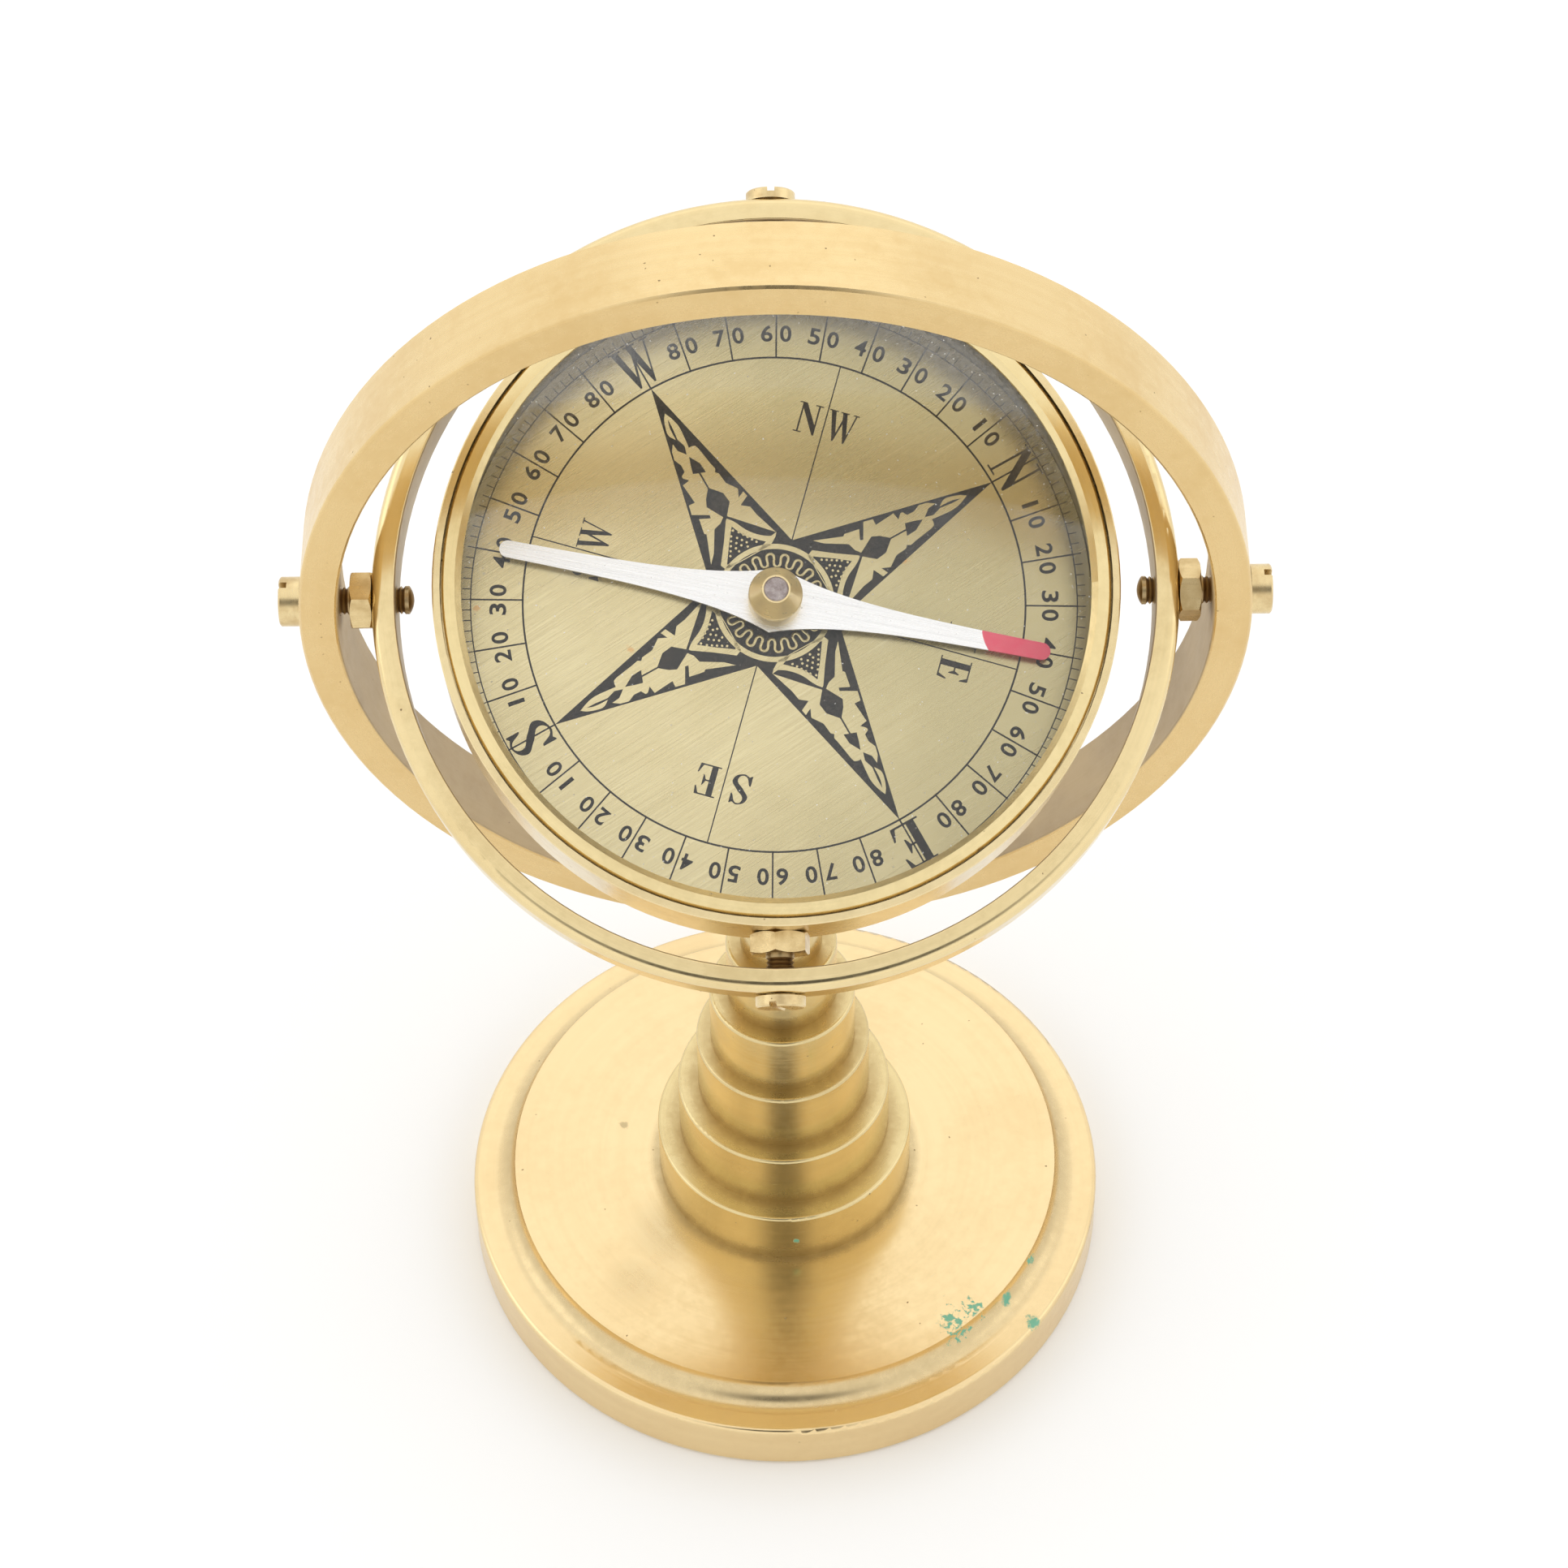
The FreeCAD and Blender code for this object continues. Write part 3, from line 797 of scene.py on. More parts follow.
@dataclass(frozen=True)
class SteelFinish:
    """Plain ground or dull steel."""

    name: str
    spindle: Spindle
    colour: Colour
    roughness: float
    rust_colour: Colour = (0.22, 0.12, 0.07, 1.0)

    def build(self) -> bpy.types.Material:
        """Makes the material.

        Returns:
            The material.
        """
        shade, material = Shade.for_material(self.name)
        spot = shade.spot(self.spindle)
        marks = grain_marks(shade, spot, Grain.TURNED, 0.2)
        cloud = shade.noise(spot.vector, 3.0, 5.0, 0.65)
        rust = cloud.rise(0.62, 0.82) * 0.5
        colour = shade.mix(rust, self.colour, self.rust_colour)
        shade.surface({
            "Base Color": colour,
            "Metallic": 1.0 - rust * 0.8,
            "Roughness": self.roughness + (marks - 0.5) * 0.15 + rust * 0.3,
            "Normal": shade.bump(marks + cloud, 0.003),
        })
        return material


@dataclass(frozen=True)
class GlassFinish:
    """Clear cover glass with dust, and a haze of it along the rear edge."""

    name: str
    spindle: Spindle
    edge_radius: float
    rim_reach: float = 9.0
    refraction: float = 1.45
    most_gloss: float = 0.22
    clear: Colour = (0.97, 0.98, 0.98, 1.0)
    dust_colour: Colour = (0.90, 0.885, 0.84, 1.0)

    def build(self) -> bpy.types.Material:
        """Makes the material.

        Returns:
            The material.
        """
        shade, material = Shade.for_material(self.name)
        spot = shade.spot(self.spindle)
        cloud = shade.noise(spot.vector, 9.0, 4.0, 0.6)
        fine = shade.noise(spot.vector, 0.5, 5.0, 0.75)
        specks = shade.specks(spot.vector, 1.1, 0.21, 0.26)
        drift = shade.specks(spot.vector, 0.8, 0.21, 0.45)
        rearward = (spot.rear / spot.radius.at_least(1.0)).rise(-0.1, 0.85)
        rim = spot.radius.rise(self.edge_radius - self.rim_reach, self.edge_radius)
        haze = rim * rearward * (0.35 + cloud * 0.5) * fine.rise(0.2, 0.75)
        edge_dust = drift * rim * (0.3 + rearward * 0.5)
        dust = (haze * 0.30 + specks * 0.65 + edge_dust + cloud.rise(0.55, 0.8) * 0.02).at_most(0.8)
        gloss = shade.node("ShaderNodeFresnel", None, {"IOR": self.refraction}).at_most(self.most_gloss)
        shade.surface({
            "Base Color": shade.mix(dust, self.clear, self.dust_colour),
            "Metallic": 1.0 - dust.rise(0.02, 0.12),
            "Roughness": 0.03 + dust * 0.5,
            "Alpha": gloss * 0.55 + dust * (1.0 - gloss),
        })
        return material


@dataclass(frozen=True)
class StoneFinish:
    """Polished grey stone with pale veins."""

    name: str
    spindle: Spindle
    dark: Colour = (0.23, 0.17, 0.16, 1.0)
    pale: Colour = (0.48, 0.41, 0.40, 1.0)
    vein_colour: Colour = (0.75, 0.70, 0.68, 1.0)

    def build(self) -> bpy.types.Material:
        """Makes the material.

        Returns:
            The material.
        """
        shade, material = Shade.for_material(self.name)
        spot = shade.spot(self.spindle)
        cloud = shade.noise(spot.vector, 0.9, 5.0, 0.7)
        vein = shade.noise(spot.vector, 0.35, 3.0, 0.6)
        colour = shade.mix(cloud.rise(0.3, 0.7), self.dark, self.pale)
        colour = shade.mix(vein.rise(0.6, 0.8) * 0.5, colour, self.vein_colour)
        shade.surface({
            "Base Color": colour,
            "Roughness": 0.18 + cloud * 0.15,
            "Coat Weight": 0.6,
            "Normal": shade.bump(cloud, 0.01),
        })
        return material


@dataclass(frozen=True)
class RubberFinish:
    """Dull dark gasket board."""

    name: str
    spindle: Spindle
    dark: Colour = (0.03, 0.028, 0.025, 1.0)
    worn: Colour = (0.12, 0.11, 0.09, 1.0)

    def build(self) -> bpy.types.Material:
        """Makes the material.

        Returns:
            The material.
        """
        shade, material = Shade.for_material(self.name)
        spot = shade.spot(self.spindle)
        fine = shade.noise(spot.vector, 0.4, 5.0, 0.7)
        colour = shade.mix(fine.rise(0.35, 0.75), self.dark, self.worn)
        shade.surface({
            "Base Color": colour,
            "Roughness": 0.75 + (fine - 0.5) * 0.2,
            "Normal": shade.bump(fine, 0.02),
        })
        return material


@dataclass(frozen=True)
class FloorFinish:
    """Matt white table top."""

    name: str
    colour: Colour = (0.955, 0.96, 0.97, 1.0)
    bright: Colour = (0.975, 0.98, 0.985, 1.0)
    cloud_size: float = 120.0

    def build(self) -> bpy.types.Material:
        """Makes the material.

        Returns:
            The material.
        """
        shade, material = Shade.for_material(self.name)
        spot = shade.spot(upright_spindle())
        cloud = shade.noise(spot.vector, self.cloud_size, 3.0, 0.5)
        colour = shade.mix(cloud, self.colour, self.bright)
        shade.surface({"Base Color": colour, "Roughness": 0.75 + cloud * 0.1, "Specular IOR Level": 0.2})
        return material


# --------------------------------------------------------------------------------------
# Making flat pieces
# --------------------------------------------------------------------------------------


MERGE_REACH = 0.0005


def deselect() -> None:
    """Deselects every object."""
    bpy.ops.object.select_all(action="DESELECT")


def only(piece: bpy.types.Object) -> None:
    """Selects one object and makes it active.

    Args:
        piece: the object.
    """
    deselect()
    piece.select_set(True)
    bpy.context.view_layer.objects.active = piece


def named(name: str) -> bpy.types.Object:
    """Names the active object and its data.

    Args:
        name: the name of both.

    Returns:
        The object.
    """
    piece = bpy.context.active_object
    piece.name = name
    piece.data.name = name
    return piece


def tidy_mesh(piece: bpy.types.Object) -> None:
    """Merges doubled points and turns the faces outwards.

    Args:
        piece: the mesh object.
    """
    only(piece)
    bpy.ops.object.mode_set(mode="EDIT")
    bpy.ops.mesh.select_all(action="SELECT")
    bpy.ops.mesh.remove_doubles(threshold=MERGE_REACH)
    bpy.ops.mesh.normals_make_consistent(inside=False)
    bpy.ops.object.mode_set(mode="OBJECT")


def settle(piece: bpy.types.Object, place: Matrix) -> bpy.types.Object:
    """Moves a piece's place into its mesh.

    Args:
        piece: the finished piece.
        place: where it goes.

    Returns:
        The piece, with its object at the origin.
    """
    piece.matrix_world = place @ piece.matrix_world
    bpy.context.view_layer.update()
    only(piece)
    bpy.ops.object.transform_apply(location=True, rotation=True, scale=True)
    return piece


def copied(piece: bpy.types.Object, place: Matrix) -> bpy.types.Object:
    """A copy of a piece with a mesh of its own, at another place.

    Args:
        piece: the piece to copy.
        place: where the copy goes, from where the piece is.

    Returns:
        The copy.
    """
    double = piece.copy()
    double.data = piece.data.copy()
    bpy.context.scene.collection.objects.link(double)
    return settle(double, place)


def joined(name: str, pieces: Sequence[bpy.types.Object]) -> bpy.types.Object:
    """Joins pieces into one.

    Args:
        name: the joined piece's name.
        pieces: at least one piece.

    Returns:
        The joined piece.
    """
    deselect()
    for piece in pieces:
        piece.select_set(True)
    bpy.context.view_layer.objects.active = pieces[0]
    if len(pieces) > 1:
        bpy.ops.object.join()
    return named(name)


def hoop(name: str, outer: float, inner: float, thick: float, sides: int) -> bpy.types.Object:
    """A flat ring about the drawing's centre, from an inset circle.

    Args:
        name: the piece's name.
        outer: outer radius.
        inner: inner radius.
        thick: thickness, upwards from the plane.
        sides: how many sides the circle has.

    Returns:
        The ring.
    """
    deselect()
    bpy.ops.mesh.primitive_circle_add(vertices=sides, radius=outer, fill_type="NGON")
    piece = named(name)
    bpy.ops.object.mode_set(mode="EDIT")
    bpy.ops.mesh.select_all(action="SELECT")
    bpy.ops.mesh.inset(thickness=outer - inner, use_even_offset=False)
    bpy.ops.mesh.delete(type="FACE")
    bpy.ops.mesh.select_all(action="SELECT")
    bpy.ops.mesh.extrude_region_move(TRANSFORM_OT_translate={"value": (0, 0, thick)})
    bpy.ops.object.mode_set(mode="OBJECT")
    tidy_mesh(piece)
    return piece


def stroke(name: str, start: float, end: float, wide: float, thick: float) -> bpy.types.Object:
    """A straight engraved line along the drawing's X axis.

    Args:
        name: the piece's name.
        start: where it begins.
        end: where it ends.
        wide: its width.
        thick: its thickness, upwards from the plane.

    Returns:
        The line.
    """
    deselect()
    bpy.ops.mesh.primitive_cube_add(size=1.0, location=((start + end) / 2, 0, thick / 2))
    piece = named(name)
    piece.scale = (end - start, wide, thick)
    bpy.ops.object.transform_apply(location=True, rotation=True, scale=True)
    return piece


def repeat_round(piece: bpy.types.Object, count: int, step: float) -> None:
    """Repeats a piece round the drawing's centre, in its own mesh.

    Args:
        piece: the piece to repeat.
        count: how many there are in the end.
        step: the angle between two, in degrees.
    """
    only(piece)
    bpy.ops.object.mode_set(mode="EDIT")
    bpy.ops.mesh.select_all(action="SELECT")
    bpy.ops.mesh.spin(
        steps=count - 1,
        dupli=True,
        angle=math.radians(step * (count - 1)),
        center=(0, 0, 0),
        axis=(0, 0, 1),
    )
    bpy.ops.object.mode_set(mode="OBJECT")


@dataclass(frozen=True)
class Outline:
    """A closed outline; the corners named in curved are rounded, and the others are sharp."""

    corners: tuple[Point, ...]
    curved: frozenset[int] = frozenset()

    def mirrored(self) -> "Outline":
        """The same outline with its two sides exchanged."""
        return Outline(tuple((x, -y) for x, y in self.corners), self.curved)


def cut_out(name: str, outlines: Sequence[Outline], thick: float) -> bpy.types.Object:
    """A flat piece cut to outlines, where an outline inside another is a hole.

    Args:
        name: the piece's name.
        outlines: its outlines.
        thick: its thickness, upwards from the plane.

    Returns:
        The piece, as a mesh.
    """
    deselect()
    curve = bpy.data.curves.new(name, "CURVE")
    curve.dimensions = "2D"
    curve.fill_mode = "BOTH"
    curve.extrude = thick / 2
    curve.resolution_u = 6
    for outline in outlines:
        spline = curve.splines.new("BEZIER")
        spline.bezier_points.add(len(outline.corners) - 1)
        spline.use_cyclic_u = True
        for number, (corner, point) in enumerate(zip(outline.corners, spline.bezier_points)):
            kind = "AUTO" if number in outline.curved else "VECTOR"
            point.co = (corner[0], corner[1], 0.0)
            point.handle_left_type = kind
            point.handle_right_type = kind
    piece = bpy.data.objects.new(name, curve)
    bpy.context.scene.collection.objects.link(piece)
    only(piece)
    bpy.ops.object.convert(target="MESH")
    piece = named(name)
    settle(piece, Matrix.Translation((0, 0, thick / 2)))
    tidy_mesh(piece)
    return piece


def centred(piece: bpy.types.Object, width: float, height: float) -> bpy.types.Object:
    """Scales a flat piece to a width and height about the drawing's centre.

    Args:
        piece: the piece.
        width: its width in the end.
        height: its height in the end.

    Returns:
        The piece.
    """
    lows = Vector(piece.bound_box[0])
    highs = Vector(piece.bound_box[6])
    middle = (lows + highs) / 2
    size = highs - lows
    scale = Matrix.Diagonal((width / size.x, height / size.y, 1.0, 1.0))
    return settle(piece, scale @ Matrix.Translation((-middle.x, -middle.y, 0)))


# --------------------------------------------------------------------------------------
# Dial engraving
# --------------------------------------------------------------------------------------


class Cardinal(Enum):
    """The four main points and their turn clockwise from north, in degrees."""

    N = 0.0
    E = 90.0
    S = 180.0
    W = 270.0


LETTER_SHAPES: dict[str, Outline] = {
    "N": Outline((
        (0.0, 0.0), (0.28, 0.0), (0.28, 0.035), (0.165, 0.035), (0.165, 0.80), (0.66, 0.0),
        (0.72, 0.0), (0.72, 0.965), (0.83, 0.965), (0.83, 1.0), (0.55, 1.0), (0.55, 0.965),
        (0.665, 0.965), (0.665, 0.34), (0.25, 1.0), (0.0, 1.0), (0.0, 0.965), (0.11, 0.965),
        (0.11, 0.035), (0.0, 0.035),
    )),
    "E": Outline((
        (0.0, 0.0), (0.68, 0.0), (0.73, 0.30), (0.69, 0.30), (0.58, 0.045), (0.30, 0.045),
        (0.30, 0.485), (0.41, 0.485), (0.48, 0.34), (0.51, 0.34), (0.51, 0.68), (0.48, 0.68),
        (0.41, 0.53), (0.30, 0.53), (0.30, 0.955), (0.56, 0.955), (0.66, 0.74), (0.70, 0.74),
        (0.67, 1.0), (0.0, 1.0), (0.0, 0.96), (0.10, 0.96), (0.10, 0.04), (0.0, 0.04),
    )),
    "W": Outline((
        (0.0, 1.0), (0.31, 1.0), (0.31, 0.965), (0.235, 0.965), (0.385, 0.27), (0.51, 0.76),
        (0.47, 0.965), (0.40, 0.965), (0.40, 1.0), (0.70, 1.0), (0.70, 0.965), (0.63, 0.965),
        (0.77, 0.27), (0.93, 0.965), (0.85, 0.965), (0.85, 1.0), (1.06, 1.0), (1.06, 0.965),
        (0.98, 0.965), (0.745, 0.0), (0.70, 0.0), (0.54, 0.62), (0.36, 0.0), (0.315, 0.0),
        (0.07, 0.965), (0.0, 0.965),
    )),
    "S": Outline((
        (0.54, 0.68), (0.54, 1.0), (0.51, 1.0), (0.46, 0.95), (0.31, 1.01), (0.06, 0.75),
        (0.22, 0.49), (0.44, 0.21), (0.28, 0.04), (0.09, 0.33), (0.05, 0.33), (0.05, 0.0),
        (0.08, 0.0), (0.13, 0.05), (0.30, -0.01), (0.58, 0.25), (0.41, 0.53), (0.19, 0.79),
        (0.31, 0.965), (0.505, 0.68),
    ), frozenset({4, 5, 6, 7, 8, 14, 15, 16, 17, 18})),
}

LETTER_WIDTHS: dict[str, float] = {"N": 0.78, "E": 0.72, "W": 0.98, "S": 0.60}


@dataclass
class DialEngraving:
    """The dial's black-filled scale, letters and eight-pointed star, and the brass left standing in it."""

    spindle: Spindle
    face: float
    north: float = 28.9
    black_thick: float = 0.03
    brass_thick: float = 0.045
    sunk: float = 0.01
    circle_radius: float = 29.5
    circle_sides: int = 180
    line_width: float = 0.22
    tick_radius: float = 35.6
    tick_end: float = 36.6
    tick_width: float = 0.11
    tick_step: int = 2
    thin_line: float = 0.14
    ten_line: float = 0.19
    digit_height: float = 2.0
    digit_width: float = 1.36
    one_narrowing: float = 0.36
    digit_spread: float = 1.12
    digit_boldness: float = 0.02
    number_radius: float = 32.4
    letter_height: float = 5.3
    letter_radius: float = 32.7
    quarter_height: float = 3.7
    quarter_radius: float = 22.4
    quarter_spread: float = 2.0
    star_notch: float = 7.77
    hub_outer: float = 7.06
    hub_inner: float = 6.44
    wave_middle: float = 5.1
    wave_swing: float = 0.82
    wave_count: int = 20
    wave_width: float = 0.34
    wave_sway: float = 0.042
    wave_steps: int = 10
    hub_sides: int = 96
    dot_size: float = 0.15
    dot_rows: int = 6
    dot_start: float = 9.9
    dot_row_pitch: float = 0.504
    dot_reach: float = 0.20
    dot_flare: float = 0.62
    dot_clearance: float = 0.25

    def drawn(self, degrees: float, radius: float = 0.0, shift: float = 0.0, turn: float = 0.0) -> Matrix:
        """Placement of a drawing on the dial, upright with its top outwards.

        Args:
            degrees: the direction's angle on the dial, from its right side, anticlockwise.
            radius: how far out its centre is.
            shift: how far its centre is to the clockwise side.
            turn: a further turn of the drawing, in degrees.

        Returns:
            The matrix within the dial's plane, in millimetres.
        """
        swing = Matrix.Rotation(math.radians(degrees - 90), 4, "Z")
        move = Matrix.Translation((shift, radius, 0))
        return swing @ move @ Matrix.Rotation(math.radians(turn), 4, "Z")

    def scale_lines(self) -> bpy.types.Object:
        """The two circles, the ticks, the ten-degree lines and the four half-wind lines.

        Returns:
            The piece.
        """
        half = self.line_width / 2
        thick = self.black_thick
        sides = self.circle_sides
        circle = hoop("degree_circle", self.circle_radius + half, self.circle_radius - half, thick, sides)
        thin = self.thin_line / 2
        track = hoop("tick_circle", self.tick_radius + thin, self.tick_radius - thin, thick, sides)
        tick = stroke("tick", self.tick_radius, self.tick_end, self.tick_width, thick)
        repeat_round(tick, 360 // self.tick_step, self.tick_step)
        settle(tick, Matrix.Rotation(math.radians(self.north), 4, "Z"))
        tens = stroke("ten_line", self.circle_radius, self.tick_radius, self.ten_line, thick)
        repeat_round(tens, 36, 10)
        settle(tens, Matrix.Rotation(math.radians(self.north), 4, "Z"))
        winds = stroke("wind_line", self.star_notch, self.circle_radius, self.thin_line, thick)
        repeat_round(winds, 4, 90)
        settle(winds, Matrix.Rotation(math.radians(self.north + 45), 4, "Z"))
        return joined("dial_scale", [circle, track, tick, tens, winds])

    def digit(self, figure: str) -> bpy.types.Object:
        """One upright figure at the drawing's centre.

        Args:
            figure: the figure's character.

        Returns:
            The piece.
        """
        deselect()
        bpy.ops.object.text_add()
        text = bpy.context.active_object
        text.data.body = figure
        text.data.extrude = self.black_thick / 2
        text.data.offset = self.digit_boldness
        text.data.resolution_u = 4
        only(text)
        bpy.ops.object.convert(target="MESH")
        piece = named("figure_" + figure)
        settle(piece, Matrix.Translation((0, 0, self.black_thick / 2)))
        width = self.digit_width * (self.one_narrowing if figure == "1" else 1.0)
        return centred(piece, width, self.digit_height)

    def numbers(self) -> bpy.types.Object:
        """The tens from 10 to 80 on both sides of north and of south.

        Returns:
            The piece.
        """
        figures = {name: self.digit(name) for name in "012345678"}
        placed: list[bpy.types.Object] = []
        for pole in (Cardinal.N, Cardinal.S):
            for tens in range(1, 9):
                for side in (-1, 1):
                    degrees = self.north - pole.value + side * tens * 10
                    left = self.drawn(degrees, self.number_radius, -self.digit_spread)
                    right = self.drawn(degrees, self.number_radius, self.digit_spread)
                    placed.append(copied(figures[str(tens)], left))
                    placed.append(copied(figures["0"], right))
        for figure in figures.values():
            bpy.data.objects.remove(figure)
        return joined("dial_numbers", placed)

    def letter(self, name: str, height: float) -> bpy.types.Object:
        """One upright serif letter at the drawing's centre."""
        piece = cut_out("letter_" + name, [LETTER_SHAPES[name]], self.black_thick)
        return centred(piece, LETTER_WIDTHS[name] * height, height)

    def cardinal_letters(self) -> bpy.types.Object:
        """The large letters at the four main points.

        Returns:
            The piece.
        """
        placed: list[bpy.types.Object] = []
        for point in Cardinal:
            letter = self.letter(point.name, self.letter_height)
            placed.append(settle(letter, self.drawn(self.north - point.value, self.letter_radius)))
        return joined("dial_letters", placed)

    def quarter_letters(self) -> bpy.types.Object:
        """The pairs of small letters between the main points.

        Returns:
            The piece.
        """
        placed: list[bpy.types.Object] = []
        for number, pair in enumerate(("NE", "SE", "SW", "NW")):
            degrees = self.north - 45 - 90 * number
            for name, side in zip(pair, (-1, 1)):
                letter = self.letter(name, self.quarter_height)
                shift = side * self.quarter_spread
                placed.append(settle(letter, self.drawn(degrees, self.quarter_radius, shift)))
        return joined("dial_quarter_letters", placed)

    def star_ground(self) -> bpy.types.Object:
        """The black four-pointed star, from an eight-sided disc whose alternate corners are drawn out.

        Returns:
            The piece.
        """
        deselect()
        bpy.ops.mesh.primitive_circle_add(vertices=8, radius=self.star_notch, fill_type="NGON")
        piece = named("star_ground")
        bpy.ops.object.mode_set(mode="EDIT")
        bpy.ops.mesh.select_all(action="DESELECT")
        bpy.ops.object.mode_set(mode="OBJECT")
        for vertex in piece.data.vertices:
            vertex.select = min(abs(vertex.co.x), abs(vertex.co.y)) < 0.01
        bpy.ops.object.mode_set(mode="EDIT")
        draw_out = self.circle_radius / self.star_notch
        bpy.ops.transform.resize(value=(draw_out, draw_out, 1), center_override=(0, 0, 0))
        bpy.ops.mesh.select_all(action="SELECT")
        bpy.ops.mesh.extrude_region_move(TRANSFORM_OT_translate={"value": (0, 0, self.black_thick)})
        bpy.ops.object.mode_set(mode="OBJECT")
        tidy_mesh(piece)
        return settle(piece, Matrix.Rotation(math.radians(self.north), 4, "Z"))

    @staticmethod
    def leaf_outline() -> Outline:
        """The brass leaf in one star point: out along the point, and sideways to its clockwise side.

        Returns:
            The outline.
        """
        leaf = (
            # clockwise side, from the tip inwards, with its black teeth
            (26.1, -0.05), (24.9, 0.42), (23.8, 0.62), (22.6, 0.55), (21.1, 0.40), (21.1, 0.75),
            (20.95, 1.15), (20.5, 1.32), (18.1, 1.70), (17.4, 1.86), (17.0, 1.62), (16.7, 1.95),
            (15.3, 2.10), (14.0, 3.0), (13.0, 2.55), (13.4, 3.40), (12.7, 3.52), (12.1, 2.3),
            (11.4, 3.2), (10.2, 3.4), (7.25, 4.35),
            # the foot, up to the lower corner of the black diamond and round its clockwise side
            (10.0, 1.85), (11.75, 0.25), (13.1, 1.38), (14.4, 1.22), (15.7, 0.1), (17.8, 0.1),
            (17.55, 0.70), (18.8, 0.62), (20.15, -0.12),
            # across to the other side of the diamond
            (19.2, -0.45), (18.1, -0.75), (17.85, -0.1), (15.7, -0.1), (14.7, -0.92),
            (13.85, -1.3), (11.85, -0.2), (11.35, -0.85), (11.1, -1.8), (8.6, -3.3), (7.6, -4.25),
            # the other side, from the foot outwards, with its black cuts
            (11.0, -2.92), (11.2, -3.13), (13.05, -2.78), (12.45, -1.55), (12.85, -1.45),
            (13.9, -3.3), (15.05, -3.02), (15.0, -2.25), (17.5, -2.45), (17.65, -1.5),
            (18.2, -2.05), (18.5, -2.05), (18.8, -1.5), (19.7, -1.45), (20.6, -1.85),
            (21.6, -1.6), (22.4, -1.05), (21.4, -0.95), (20.5, -0.25), (21.5, 0.05), (22.6, -0.3),
            (24.2, -0.12), (25.3, -0.1), (24.4, -0.38), (22.65, -0.48), (23.5, -0.98),
            (24.6, -0.82), (25.5, -0.48),
        )
        return Outline(leaf, frozenset({1, 2, 3, 64, 66, 67}))

    @staticmethod
    def root_border() -> tuple[Outline, Outline]:
        """The brass line round the dotted root of a star point.

        Returns:
            Its outer outline and its hole.
        """
        outer = Outline(
            ((11.5, 0.1), (10.85, 0.6), (9.0, 1.56), (7.7, 2.76), (7.15, 3.6), (7.25, 4.4),
             (6.8, 4.0), (6.2, 3.0), (6.2, -3.0), (6.95, -3.3), (9.2, -1.6), (11.4, -0.1)),
            frozenset({1, 2, 3}),
        )
        inner = Outline(
            ((10.4, 0.12), (8.74, 0.91), (7.53, 2.03), (6.85, 2.75), (6.3, 1.2), (6.3, -1.2),
             (6.7, -2.6), (8.9, -1.05)),
            frozenset({1, 2}),
        )
        return outer, inner

    def root_dots(self) -> list[bpy.types.Object]:
        """The small round dots left standing in the root of a star point.

        Returns:
            The dots, in rows that widen towards the hub.
        """
        deselect()
        bpy.ops.mesh.primitive_circle_add(vertices=8, radius=self.dot_size, fill_type="NGON")
        dot = named("root_dot")
        bpy.ops.object.mode_set(mode="EDIT")
        bpy.ops.mesh.select_all(action="SELECT")
        bpy.ops.mesh.extrude_region_move(TRANSFORM_OT_translate={"value": (0, 0, self.brass_thick)})
        bpy.ops.object.mode_set(mode="OBJECT")
        tidy_mesh(dot)
        placed: list[bpy.types.Object] = []
        for row in range(self.dot_rows):
            out = self.dot_start - row * self.dot_row_pitch
            reach = self.dot_reach + (self.dot_start - out) * self.dot_flare
            count = row + 1 if row < self.dot_rows - 1 else row - 1
            for number in range(count):
                spread = 0.0 if count == 1 else (2 * number / (count - 1) - 1) * reach
                if math.hypot(out, spread) > self.hub_outer + self.dot_clearance:
                    placed.append(copied(dot, Matrix.Translation((out, spread, 0))))
        bpy.data.objects.remove(dot)
        return placed

    def star_ornament(self) -> bpy.types.Object:
        """The brass left standing in the four star points.

        Returns:
            The piece.
        """
        leaf = cut_out("star_leaf", [self.leaf_outline().mirrored()], self.brass_thick)
        border = cut_out("root_border", [line.mirrored() for line in self.root_border()], self.brass_thick)
        point = joined("star_point", [leaf, border, *self.root_dots()])
        headings = [math.radians(self.north + 90 * number) for number in range(4)]
        placed = [copied(point, Matrix.Rotation(heading, 4, "Z")) for heading in headings]
        bpy.data.objects.remove(point)
        return joined("star_ornament", placed)

    def hub_ring(self) -> bpy.types.Object:
        """The plain brass ring round the star's centre."""
        return hoop("star_hub_ring", self.hub_outer, self.hub_inner, self.brass_thick, self.hub_sides)

